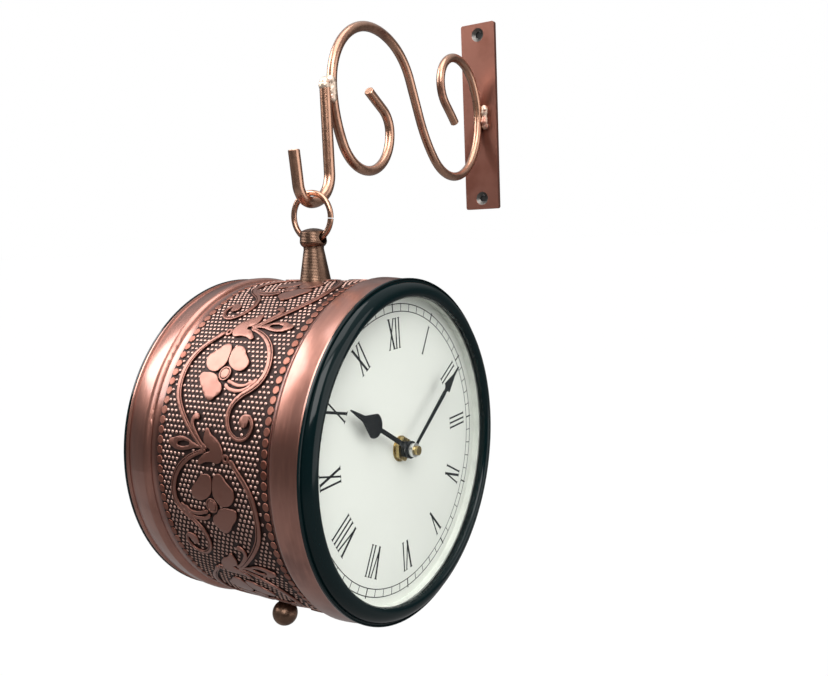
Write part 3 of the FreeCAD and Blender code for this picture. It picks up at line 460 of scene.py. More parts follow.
class CLOCK_OT_vine(bpy.types.Operator):
    """Add the embossed vine round the drum"""
    bl_idname = "clock.vine"
    bl_label = "Embossed vine"

    SINK = 0.4
    BEND_STEP = 2.4

    def execute(self, context):
        band = context.scene.clock_band
        unit = self.flat_unit(band.relief)
        self.wrap(unit, band)
        finish = vine_finish(context.scene.clock_colours, band)
        waves = half_waves(band)
        for number, (s, mirror) in enumerate(waves):
            piece = unit.copy()
            piece.data = unit.data.copy()
            context.scene.collection.objects.link(piece)
            piece.name = "vine_%d" % (number + 1)
            piece.matrix_world = on_drum(band, s, mirror)
            settle(piece)
            if number in (0, len(waves) - 1):
                self.trim(piece, number == 0)
            outward(piece)
            smooth(piece, 50)
            dress(piece, finish)
            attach(piece, "clock")
        bpy.data.objects.remove(unit)
        return {"FINISHED"}

    @staticmethod
    def flat_unit(relief):
        sunk = relief + CLOCK_OT_vine.SINK
        inner, outer = EYE_GROOVE_R
        parts = [leaf_plate(points, sunk) for points in (*PETALS, TULIP, CURL, round_outline(inner))]
        parts.append(leaf_plate(LEAF, sunk, [LEAF_SLIT]))
        parts.append(leaf_plate(FERRULE, sunk, [round_outline(FERRULE_HOLE_R, 8, FERRULE_HOLE_AT)]))
        parts.append(leaf_plate(round_outline(FLOWER_EYE_R), sunk, [round_outline(outer)]))
        parts += [leaf_plate(ribbon(points, widths), sunk) for points, widths in STALKS]
        for points, widths in GROOVED_STALKS:
            parts.append(leaf_plate(ribbon(points, widths, -0.5, GROOVE[0]), sunk))
            parts.append(leaf_plate(ribbon(points, widths, GROOVE[1], 0.5), sunk))
        return joined(parts, "vine_unit")

    @staticmethod
    def wrap(unit, band):
        """Cuts the flat unit across at short steps, so that it can bend, and bends it to the drum."""
        unit.rotation_euler = (math.radians(90), 0, 0)
        settle(unit)
        xs = [v.co.x for v in unit.data.vertices]
        low, high = min(xs), max(xs)
        bpy.ops.object.mode_set(mode="EDIT")
        steps = int((high - low) / (CLOCK_OT_vine.BEND_STEP * MM))
        for i in range(1, steps):
            bpy.ops.mesh.select_all(action="SELECT")
            bpy.ops.mesh.bisect(plane_co=(low + (high - low) * i / steps, 0, 0), plane_no=(1, 0, 0))
        bpy.ops.object.mode_set(mode="OBJECT")
        modified(unit, "SIMPLE_DEFORM", deform_method="BEND", deform_axis="Z",
                 angle=(high - low) / (band.map_radius * MM))

    @staticmethod
    def trim(piece, first):
        """Cuts the half wave that crosses the band's seam under the drum."""
        pick(piece)
        bpy.ops.object.mode_set(mode="EDIT")
        bpy.ops.mesh.select_all(action="SELECT")
        bpy.ops.mesh.bisect(plane_co=AXIS, plane_no=(1, 0, 0), use_fill=True,
                            clear_outer=first, clear_inner=not first)
        bpy.ops.object.mode_set(mode="OBJECT")


def near_vine(spots, band, margin):
    """For each (s, y) spot, whether it lies on the vine or within margin of it."""
    near = np.zeros(len(spots), bool)
    filled = (*PETALS, TULIP, LEAF, CURL, FERRULE, round_outline(FLOWER_EYE_R))
    outlines = [np.array(points) for points in filled]
    for s, mirror in half_waves(band):
        local = spots - np.array([s, 0.0])
        if mirror:
            local = local * np.array([1.0, -1.0])
        close = np.flatnonzero((np.abs(local[:, 0]) < HALF_WAVE_REACH) & ~near)
        spot = local[close]
        hit = np.zeros(len(close), bool)
        for outline in outlines:
            hit |= inside(spot, outline) | (gap_to(spot, np.vstack([outline, outline[:1]]), None) < margin)
        for points, widths in STALKS + GROOVED_STALKS:
            hit |= gap_to(spot, np.array(points), np.array(widths) / 2) < margin
        near[close] |= hit
    return near


def inside(spots, outline):
    """For each spot, whether it lies inside the closed outline."""
    crossed = np.zeros(len(spots), bool)
    for (x0, y0), (x1, y1) in zip(outline, np.roll(outline, -1, axis=0)):
        spans = (y0 > spots[:, 1]) != (y1 > spots[:, 1])
        with np.errstate(divide="ignore", invalid="ignore"):
            crossed ^= spans & (spots[:, 0] < (x1 - x0) * (spots[:, 1] - y0) / (y1 - y0) + x0)
    return crossed


def gap_to(spots, line, half_widths):
    """Each spot's distance from a line of points, less the line's half width there."""
    best = np.full(len(spots), 1e9)
    for i in range(len(line) - 1):
        start, run = line[i], line[i + 1] - line[i]
        along = np.clip(((spots - start) @ run) / (run @ run), 0, 1)
        gap = np.linalg.norm(spots - start - along[:, None] * run, axis=1)
        if half_widths is not None:
            gap = gap - (half_widths[i] * (1 - along) + half_widths[i + 1] * along)
        best = np.minimum(best, gap)
    return best


def spread(template, matrices, name):
    """A copy of the template at each matrix, joined into one piece."""
    copies = []
    for matrix in matrices:
        copy = template.copy()
        copy.data = template.data.copy()
        copy.data.transform(matrix)
        bpy.context.scene.collection.objects.link(copy)
        copies.append(copy)
    bpy.data.objects.remove(template)
    return joined(copies, name)


class CLOCK_OT_ground(bpy.types.Operator):
    """Add the dots of the ground and the two rows of scales"""
    bl_idname = "clock.ground"
    bl_label = "Dotted ground"

    DOT_HEIGHT = 0.5
    ROOT = 0.1
    DOT_CLEARANCE = 0.9
    SCALE_R, SCALE_RELIEF, SCALE_EDGE, SCALE_STRETCH = 1.75, 0.56, 0.3, 1.14

    def execute(self, context):
        band = context.scene.clock_band
        colours = context.scene.clock_colours
        crowns = dot_finish("dot_copper", colours, band, colours.crown, tint(colours.crown, 0.7))
        copper = dot_finish("scale_copper", colours, band, tint(colours.copper, 0.8), colours.copper_dark)
        for piece, finish in ((self.dots(band), crowns), (self.scale_rows(band), copper)):
            smooth(piece, 60)
            dress(piece, finish)
            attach(piece, "clock")
        return {"FINISHED"}

    @staticmethod
    def dome(radius, height, segments=8):
        """A low dome about the origin that stands towards -Y, open below."""
        deselect()
        bpy.ops.mesh.primitive_uv_sphere_add(segments=segments, ring_count=6, radius=radius * MM,
                                             rotation=(math.radians(90), 0, 0))
        dome = settle(bpy.context.object)
        bpy.ops.object.mode_set(mode="EDIT")
        bpy.ops.mesh.select_all(action="SELECT")
        bpy.ops.mesh.bisect(plane_co=(0, 0, 0), plane_no=(0, 1, 0), clear_outer=True, use_fill=True)
        bpy.ops.object.mode_set(mode="OBJECT")
        dome.scale.y = height / radius
        return settle(dome)

    def dots(self, band):
        length = 2 * math.pi * band.map_radius
        columns = int(length / band.dot_step / 2) * 2
        rows = int(band.dots_half_width / band.dot_rise)
        spots = []
        for column in range(columns):
            shift = band.dot_rise / 2 if column % 2 else 0
            for row in range(-rows, rows + 1):
                y = row * band.dot_rise + shift
                if abs(y) < band.dots_half_width:
                    spots.append((column * length / columns, y))
        spots = np.array(spots)
        free = spots[~near_vine(spots, band, band.dot_radius * self.DOT_CLEARANCE)]
        sink = band.map_radius - band.ground_radius + self.ROOT
        places = [on_drum(band, s) @ Matrix.Translation((0, sink * MM, y * MM)) for s, y in free]
        return spread(self.dome(band.dot_radius, self.DOT_HEIGHT + self.ROOT), places, "ground_dots")

    def scale_rows(self, band):
        length = 2 * math.pi * band.map_radius
        sink = band.map_radius - band.ground_radius + self.ROOT
        places = []
        for side in (-1, 1):
            for i in range(band.scales):
                at = Matrix.Translation((0, sink * MM, side * band.scale_at * MM))
                places.append(on_drum(band, i * length / band.scales) @ at)
        scale = leaf_plate(round_outline(self.SCALE_R, 12), self.SCALE_RELIEF, edge=self.SCALE_EDGE)
        scale.rotation_euler.x = math.radians(90)
        scale.scale.x = self.SCALE_STRETCH
        return spread(settle(scale), places, "border_scales")


class CLOCK_OT_dial_print(bpy.types.Operator):
    """Add the Roman numerals and the minute track to both dials"""
    bl_idname = "clock.dial_print"
    bl_label = "Dial print"

    NUMERALS = ("XII", "I", "II", "III", "IV", "V", "VI", "VII", "VIII", "IX", "X", "XI")
    THICK, THIN, SERIF = 1.36, 0.90, 0.45
    WIDTHS = {"I": 2.65, "V": 5.7, "X": 5.5}
    I_SHARE = 0.72
    SERIF_OUT = 0.7
    HOUR_TICK_WIDE, HOUR_TICK_OUT = 0.8, 1.0

    def execute(self, context):
        sizes = context.scene.clock_print
        front = self.flat_print(sizes)
        rear = front.copy()
        rear.data = front.data.copy()
        context.scene.collection.objects.link(rear)
        ink = ink_finish(context.scene.clock_colours)
        for piece, name, turn in ((front, "front_dial_print", 0), (rear, "rear_dial_print", 180)):
            piece.name = piece.data.name = name
            piece.matrix_world = (
                Matrix.Translation(AXIS) @ Matrix.Rotation(math.radians(turn), 4, "Z")
                @ Matrix.Translation((0, -DIAL_FACE, 0)) @ Matrix.Rotation(math.radians(90), 4, "X")
                @ Matrix.Rotation(math.radians(sizes.turn), 4, "Z"))
            settle(piece)
            dress(piece, ink)
            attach(piece, "clock")
        return {"FINISHED"}

    def flat_print(self, sizes):
        parts = [self.ring(sizes.track_inner, sizes.line), self.ring(sizes.track_outer, sizes.line)]
        parts.append(self.ticks(sizes.line, sizes.track_inner, sizes.track_outer, 60))
        parts.append(self.ticks(self.HOUR_TICK_WIDE, sizes.track_inner,
                                sizes.track_outer + self.HOUR_TICK_OUT, 12))
        for hour, word in enumerate(self.NUMERALS):
            parts.append(self.numeral(word, hour, sizes))
        flat = joined(parts, "dial_print")
        return modified(flat, "SOLIDIFY", thickness=sizes.ink_height * MM, offset=1.0)

    @staticmethod
    def ring(radius, line):
        """A flat ring: a circle whose edge is extruded and drawn inwards."""
        deselect()
        bpy.ops.mesh.primitive_circle_add(vertices=144, radius=(radius + line / 2) * MM)
        bpy.ops.object.mode_set(mode="EDIT")
        bpy.ops.mesh.select_all(action="SELECT")
        share = (radius - line / 2) / (radius + line / 2)
        bpy.ops.mesh.extrude_edges_move()
        bpy.ops.transform.resize(value=(share, share, 1))
        bpy.ops.mesh.select_all(action="SELECT")
        bpy.ops.mesh.normals_make_consistent(inside=False)
        bpy.ops.object.mode_set(mode="OBJECT")
        return bpy.context.object

    @staticmethod
    def bar(foot, head, line):
        """A flat stroke with level ends from foot to head, each an (x, y) in millimetres."""
        deselect()
        bpy.ops.mesh.primitive_plane_add(size=1)
        stroke = bpy.context.object
        for vertex in stroke.data.vertices:
            x, y = head if vertex.co.y > 0 else foot
            side = 1 if vertex.co.x > 0 else -1
            vertex.co = ((x + side * line / 2) * MM, y * MM, 0)
        return stroke

    def ticks(self, line, inner, outer, count):
        """One tick spun round the dial."""
        self.bar((0, inner), (0, outer), line)
        bpy.ops.object.mode_set(mode="EDIT")
        bpy.ops.mesh.select_all(action="SELECT")
        bpy.ops.mesh.spin(steps=count, dupli=True, angle=2 * math.pi, center=(0, 0, 0), axis=(0, 0, 1))
        bpy.ops.mesh.select_all(action="SELECT")
        bpy.ops.mesh.remove_doubles(threshold=MERGE_WITHIN)
        bpy.ops.object.mode_set(mode="OBJECT")
        return bpy.context.object

    def letter(self, letter, x, height):
        """The strokes of one letter centred on x, with serifs at their ends."""
        half = self.WIDTHS[letter] / 2 - self.THICK / 2
        if letter == "I":
            strokes = [((x, 0), (x, height), self.THICK * self.I_SHARE)]
        elif letter == "V":
            strokes = [((x + self.THIN / 2, 0), (x - half, height), self.THICK),
                       ((x, 0), (x + half, height), self.THIN)]
        else:
            strokes = [((x + half, 0), (x - half, height), self.THICK),
                       ((x - half, 0), (x + half, height), self.THIN)]
        parts = []
        for foot, head, line in strokes:
            parts.append(self.bar(foot, head, line))
            for end, up in ((foot, 1), (head, -1)):
                if letter == "V" and up == 1:
                    continue
                wide = line + self.SERIF_OUT
                edge = end[1] + up * self.SERIF
                parts.append(self.bar((end[0], min(end[1], edge)), (end[0], max(end[1], edge)), wide))
        return parts

    def numeral(self, word, hour, sizes):
        total = sum(self.WIDTHS[c] for c in word)
        x = -total / 2
        parts = []
        for c in word:
            parts += self.letter(c, x + self.WIDTHS[c] / 2, sizes.numeral_height)
            x += self.WIDTHS[c]
        whole = joined(parts, "numeral")
        whole.location.y = sizes.numeral_foot * MM
        settle(whole)
        whole.rotation_euler.z = -math.radians(30 * hour)
        whole.location = (sizes.numeral_shift[0] * MM, sizes.numeral_shift[1] * MM, 0)
        return settle(whole)


class CLOCK_OT_welds(bpy.types.Operator):
    """Replace the two plain weld beads with lumpy brazed ones"""
    bl_idname = "clock.welds"
    bl_label = "Brazed welds"

    LUMPS = 9
    VOXEL = 0.42
    LUMP_SIZE, LUMP_HEIGHT = 2.2, 0.35
    # Node, finish, radius of the balls, their places across the joint, seed and share left clean.
    WELDS = (("hook_weld", "hook_braze", 2.5, (-2.0, 2.0), 3, 0.56),
             ("plate_weld", "plate_braze", 2.6, (-4.4, 1.2), 8, 0.40))
    # Balls over the hook rod's end: x and z from its box's far corner, and radius.
    CAP_BALLS = ((-3.0, -0.6, 2.9), (-3.2, -2.2, 3.3), (-1.6, 0.2, 2.6))

    def execute(self, context):
        colours = context.scene.clock_colours
        for node, finish, radius, reach, seed, clean in self.WELDS:
            caps = [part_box("hook_rod")[1]] if node == "hook_weld" else []
            bead = self.bead(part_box(node), radius, reach, seed, caps)
            bead.name = bead.data.name = node + "_braze"
            dress(bead, braze_finish(finish, colours, clean))
            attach(bead, "bracket")
            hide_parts(node)
        return {"FINISHED"}

    def bead(self, box, radius, reach, seed, caps):
        """Balls of uneven size down both sides of the joint and over the rod's end, melted into one lump."""
        low, high = box
        chance = random.Random(seed)
        balls = []
        for i in range(self.LUMPS):
            for out in reach:
                deselect()
                share = (i + 0.5 + chance.uniform(-0.3, 0.3)) / self.LUMPS
                spot = ((low.x + high.x) / 2 + chance.uniform(-0.5, 0.5) * MM,
                        (out + chance.uniform(-0.2, 0.2)) * MM,
                        low.z + share * (high.z - low.z))
                size = radius * MM * chance.uniform(0.72, 1.05)
                bpy.ops.mesh.primitive_ico_sphere_add(subdivisions=3, radius=size, location=spot)
                balls.append(bpy.context.object)
        for corner in caps:
            for x, z, size in self.CAP_BALLS:
                deselect()
                bpy.ops.mesh.primitive_ico_sphere_add(
                    subdivisions=3, radius=size * MM, location=(corner.x + x * MM, 0, corner.z + z * MM))
                balls.append(bpy.context.object)
        bead = settle(joined(balls, "bead"))
        modified(bead, "REMESH", mode="VOXEL", voxel_size=self.VOXEL * MM)
        modified(bead, "SMOOTH", factor=0.5, iterations=4)
        lumps = bpy.data.textures.new("braze_lumps", "CLOUDS")
        lumps.noise_scale = self.LUMP_SIZE * MM
        modified(bead, "DISPLACE", texture=lumps, texture_coords="LOCAL", strength=self.LUMP_HEIGHT * MM,
                 mid_level=0.5)
        modified(bead, "SMOOTH", factor=0.4, iterations=1)
        return smooth(bead, 80)


class CLOCK_OT_painted_hole_shade(bpy.types.Operator):
    """Add a thin near-black disc behind each screw hole, as painted shade that makes the holes read as dark
    """
    bl_idname = "clock.hole_backs"
    bl_label = "Screw hole backs"

    BACK_R, BACK_T, BACK_INSET = 2.3, 0.2, 0.25

    def execute(self, context):
        low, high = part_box("wall_plate")
        middle, reach = (low.z + high.z) / 2, (high.z - low.z) / 2 - SCREW_INSET * MM
        discs = []
        for side in (-1, 1):
            deselect()
            bpy.ops.mesh.primitive_cylinder_add(
                vertices=32, radius=self.BACK_R * MM, depth=self.BACK_T * MM,
                rotation=(0, math.radians(90), 0),
                location=(high.x - self.BACK_INSET * MM, 0, middle + side * reach))
            discs.append(bpy.context.object)
        backs = settle(joined(discs, "screw_hole_backs"))
        # Near-black colour of the discs: painted shade for the depth of the screw holes.
        dress(backs, plastic_finish("hole_backs", (0.012, 0.011, 0.010), 0.7))
        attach(backs, "bracket")
        return {"FINISHED"}


# ---- finishes ----
def copper_finish(name, colours, rough):
    """Rubbed antique copper with fine scratches and a soft shine."""
    f = Finish(name)
    patches = f.noise(22, 3.0).step(0.5, 0.85)
    streaks = f.noise(1.6, 5.0)
    grain = f.noise(0.7, 2.0)
    colour = f.mixed(patches, colours.rod, colours.copper_dark)
    colour = f.mixed(streaks.step(0.35, 0.75) * 0.35, colour, tint(colours.rod, 1.3))
    roughness = rough + streaks * 0.14 + patches * 0.10
    height = streaks * 0.7 + grain * 0.3
    return f.done(Base_Color=colour, Metallic=1.0, Roughness=roughness, Normal=f.bump(height, 0.06, 0.05),
                  Coat_Weight=0.6, Coat_Roughness=0.14)


def plate_finish(colours, top):
    """The plate's copper, with grey steel-coloured screw seats and holes painted near-black as painted shade.
    """
    f = Finish("plate_copper")
    patches = f.noise(22, 3.0).step(0.40, 0.85)
    streaks = f.noise(1.6, 5.0, (0.4, 3, 0.4))
    copper = f.mixed(patches, tint(colours.copper, 0.72), colours.copper_dark)
    _, y, z = f.parts(f.place())
    along = z.size() - (top / MM - SCREW_INSET)
    out = (y * y + along * along).root()
    seat = 1 - out.step(*SEAT_EDGE)
    colour = f.mixed(seat, copper, (0.16, 0.15, 0.14))
    # Painted shade: the screw holes are coloured near-black.
    colour = f.mixed(1 - out.step(*HOLE_EDGE), colour, (0.01, 0.01, 0.01))
    return f.done(Base_Color=colour, Metallic=1.0, Roughness=0.36 + streaks * 0.14 + patches * 0.08,
                  Normal=f.bump(streaks, 0.12, 0.05), Coat_Weight=0.15, Coat_Roughness=0.2)


def drum_finish(colours, band):
    """Blackened ground under the embossing, rubbed copper on the beads and the mouths."""
    f = Finish("drum_copper")
    _, y, _ = f.axis_parts()
    width = (y - band.shift).size()
    field = 1 - width.step(band.field_half_width, band.field_half_width + 0.5)
    around = f.noise(3.0, 4.0, (0.25, 1.6, 0.25))
    patches = f.noise(26, 3.0).step(0.42, 0.8)
    copper = f.mixed(patches * 0.8, colours.copper, colours.copper_dark)
    copper = f.mixed(around.step(0.4, 0.8) * 0.4, copper, tint(colours.copper, 1.3))
    # Painted shade: a band of copper just outside the dark field is darkened, for the shadow that the bead's
    # rise casts into the cove.
    cove_shade = 1 - width.step(band.field_half_width + 0.6, band.field_half_width + 3.0)
    copper = f.mixed(cove_shade * 0.8, copper, tint(colours.copper_dark, 0.9))
    colour = f.mixed(field, copper, colours.ground)
    roughness = 0.24 + around * 0.12 + patches * 0.08 + field * 0.25
    return f.done(Base_Color=colour, Metallic=1.0 - field * 0.35, Roughness=roughness,
                  Normal=f.bump(around, 0.15, 0.05), Coat_Weight=(1 - field) * 0.6, Coat_Roughness=0.18,
                  Coat_IOR=1.8)


def radius_from_axis(f):
    x, _, z = f.axis_parts()
    return (x * x + z * z).root()


def vine_finish(colours, band):
    """Copper rubbed bright on top and dark down the sides."""
    f = Finish("vine_copper")
    top = radius_from_axis(f).step(band.ground_radius + 0.35, band.map_radius + band.relief - 0.04)
    patches = f.noise(9, 4.0).step(0.45, 0.8)
    grain = f.noise(0.8, 3.0)
    rubbed = f.mixed(patches * 0.5, tint(colours.copper, 0.74), tint(colours.copper_dark, 1.4))
    colour = f.mixed(top, colours.ground, rubbed)
    return f.done(Base_Color=colour, Metallic=1.0, Roughness=0.34 + grain * 0.12 + patches * 0.06,
                  Normal=f.bump(grain, 0.12, 0.05), Coat_Weight=0.45, Coat_Roughness=0.28)


def dot_finish(name, colours, band, bright, dull):
    """Small raised forms whose crowns run from one colour to the other, with dark roots."""
    f = Finish(name)
    top = radius_from_axis(f).step(band.ground_radius + 0.10, band.ground_radius + 0.30)
    patches = f.noise(14, 3.0).step(0.35, 0.8)
    crown = f.mixed(patches * 0.8, bright, dull)
    colour = f.mixed(top, colours.ground, crown)
    grain = f.noise(0.5, 2.0)
    return f.done(Base_Color=colour, Metallic=1.0, Roughness=0.34 + grain * 0.2,
                  Normal=f.bump(grain, 0.2, 0.04))


def bronze_finish(name, colours, grooves):
    """Dark bronze; a turned part also has fine tool rings round its upright axis."""
    f = Finish(name)
    patches = f.noise(6, 4.0)
    colour = f.mixed(patches.step(0.4, 0.75), colours.bronze, tint(colours.bronze, 2.1))
    grain = f.noise(0.6, 3.0, (1, 1, 3))
    height = grain
    if grooves:
        rings = f.node("ShaderNodeTexWave", {"bands_direction": "Z", "wave_profile": "SIN"}, {
            "Vector": f.place((0, 0, 1)), "Scale": 0.42, "Distortion": 0.8, "Detail": 1.0}, output=1)
        height = rings + grain * 0.3
        colour = f.mixed(rings * 0.35, colour, tint(colours.bronze, 0.35))
    return f.done(Base_Color=colour, Metallic=1.0, Roughness=0.26 + patches * 0.16,
                  Normal=f.bump(height, 0.55 if grooves else 0.2, 0.12))


def braze_finish(name, colours, clean):
    """Bright braze, scorched where the noise is above clean."""
    f = Finish(name)
    scorch = f.noise(2.6, 4.0)
    colour = f.mixed(scorch.step(clean, clean + 0.22), colours.braze, colours.copper)
    grain = f.noise(0.9, 2.0)
    return f.done(Base_Color=colour, Metallic=1.0, Roughness=0.40 + scorch * 0.15,
                  Normal=f.bump(grain, 0.08, 0.04))


def enamel_finish(colours):
    """Gloss black enamel with a little dust in it; the enamel colour's teal tint is a painted reflection."""
    f = Finish("bezel_enamel")
    flow = f.noise(9, 2.0)
    dust = f.noise(0.6, 2.0)
    colour = f.mixed(dust.step(0.66, 0.8) * 0.5, colours.enamel, tint(colours.enamel, 6.0))
    return f.done(Base_Color=colour, Roughness=0.07 + flow * 0.06, Specular_IOR_Level=0.20,
                  Normal=f.bump(flow + dust * 0.05, 0.06, 0.10))


def card_finish(name, colour, spread_mm, rough, edge=0.93):
    """Pale printed card or paint with a faint cloudiness."""
    f = Finish(name)
    cloud = f.noise(spread_mm, 3.0)
    tooth = f.noise(0.35, 2.0)
    shade = f.mixed(cloud.step(0.3, 0.8) * 0.5, colour, tint(colour, edge))
    return f.done(Base_Color=shade, Roughness=rough + tooth * 0.08, Normal=f.bump(tooth, 0.08, 0.02))


def ink_finish(colours):
    f = Finish("dial_ink")
    wear = f.noise(1.2, 3.0)
    colour = f.mixed(wear.step(0.5, 0.8) * 0.4, colours.ink, tint(colours.ink, 4.0))
    return f.done(Base_Color=colour, Roughness=0.45 + wear * 0.15, Specular_IOR_Level=0.2)


def hand_finish(name, colours, bush_r):
    """Black lacquer, with a bare steel bush out to bush_r millimetres from the arbor."""
    f = Finish(name)
    wear = f.noise(1.0, 3.0)
    bush = 1 - radius_from_axis(f).step(bush_r, bush_r + 0.1)
    black = f.mixed(wear.step(0.5, 0.85) * 0.4, colours.ink, tint(colours.ink, 3.0))
    colour = f.mixed(bush, black, (0.72, 0.72, 0.70))
    return f.done(Base_Color=colour, Metallic=bush, Roughness=0.30 + wear * 0.12, Specular_IOR_Level=0.12)


def metal_finish(name, colour, rough, size=2.0):
    """Plain turned or stamped metal with a slight unevenness."""
    f = Finish(name)
    blur = f.noise(size, 4.0)
    grain = f.noise(0.4, 2.0)
    shade = f.mixed(blur.step(0.4, 0.8) * 0.5, colour, tint(colour, 0.6))
    return f.done(Base_Color=shade, Metallic=1.0, Roughness=rough + blur * 0.12,
                  Normal=f.bump(grain, 0.15, 0.03))


def plastic_finish(name, colour, rough):
    """Moulded plastic or rubber with a fine spark-eroded grain."""
    f = Finish(name)
    grain = f.noise(0.5, 3.0)
    shade = f.mixed(f.noise(8, 2.0) * 0.3, colour, tint(colour, 0.8))
    return f.done(Base_Color=shade, Roughness=rough + grain * 0.1, Normal=f.bump(grain, 0.25, 0.05))


def glass_finish():
    """Clear domed glass: nearly nothing face on, and bright where it is seen edgeways."""
    f = Finish("clear_glass")
    facing = f.node("ShaderNodeLayerWeight", {}, {"Blend": 0.5}, output=1)
    smear = f.noise(30, 3.0)
    alpha = 0.015 + facing ** 4.0 * 0.30
    return f.done(Base_Color=(0.16, 0.20, 0.19, 1), Alpha=alpha, Roughness=0.03 + smear * 0.04,
                  Specular_IOR_Level=0.8)


class CLOCK_OT_metalwork(bpy.types.Operator):
    """Give the bracket, ring, lug, feet and drum their finishes"""
    bl_idname = "clock.metalwork"
    bl_label = "Metalwork finishes"

    def execute(self, context):
        colours, band = context.scene.clock_colours, context.scene.clock_band
        plate = plate_finish(colours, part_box("wall_plate")[1].z)
        rod = copper_finish("rod_copper", colours, 0.22)
        ring = copper_finish("ring_copper", colours, 0.20)
        finishes = {"wall_plate": plate, "scroll_arm": rod, "hook_rod": rod, "hanging_ring": ring,
                    "drum_shell": drum_finish(colours, band),
                    "hanger_lug": bronze_finish("lug_bronze", colours, True),
                    "ball_feet": bronze_finish("ball_bronze", colours, False)}
        tin = metal_finish("tinned_steel", (0.62, 0.62, 0.60), 0.32)
        for node in ("lug_washer", "lug_nut", "foot_washers", "foot_nuts"):
            finishes[node] = tin
        for node, finish in finishes.items():
            dress(NODES[node], finish)
        return {"FINISHED"}


class CLOCK_OT_dial_ends(bpy.types.Operator):
    """Give the dials, bezels, glasses, hands and movements their finishes"""
    bl_idname = "clock.dial_ends"
    bl_label = "Dial end finishes"

    # Radii of the bare metal about the arbor on each hand.
    HOUR_BUSH_R, MINUTE_BUSH_R = 0.5, 3.46

    def execute(self, context):
        colours = context.scene.clock_colours
        brass = metal_finish("brass", colours.brass, 0.22)
        case = plastic_finish("movement_plastic", (0.015, 0.015, 0.016), 0.45)
        gears = plastic_finish("gear_plastic", (0.70, 0.69, 0.64), 0.4)
        rubber = plastic_finish("keeper_rubber", (0.02, 0.02, 0.02), 0.7)
        tin = metal_finish("seat_steel", (0.62, 0.62, 0.60), 0.32)
        finishes = {
            "dial": card_finish("dial_card", colours.dial, 40, 0.42),
            "dial_sleeve": card_finish("sleeve_cream", tint(colours.dial, 0.98), 9, 0.30, 0.72),
            "dial_seat": tin, "bezel": enamel_finish(colours), "glass": glass_finish(),
            "glass_keeper": rubber,
            "movement_gasket": rubber, "movement_case": case, "movement_cover": case,
            "battery": metal_finish("battery_jacket", (0.45, 0.33, 0.12), 0.3), "battery_contacts": tin,
            "drive_unit": gears, "minute_wheel": gears, "hour_wheel": gears, "set_knob": gears,
            "fixing_washer": brass, "fixing_nut": brass, "minute_arbor": brass, "hand_nut": brass,
            "hour_hand": hand_finish("hour_hand_black", colours, self.HOUR_BUSH_R),
            "minute_hand": hand_finish("minute_hand_black", colours, self.MINUTE_BUSH_R),
        }
        for end in ("front", "rear"):
            for node, finish in finishes.items():
                dress(NODES[end + "_" + node], finish)
        return {"FINISHED"}


# ---- stage ----
def set_stops(ramp, stops):
    """Gives the colour ramp these stops, each a position and a grey."""
    while len(ramp.elements) < len(stops):
        ramp.elements.new(0.5)
    for element, (position, grey) in zip(ramp.elements, stops):
        element.position = position
        element.color = rgba((grey,) * 3)


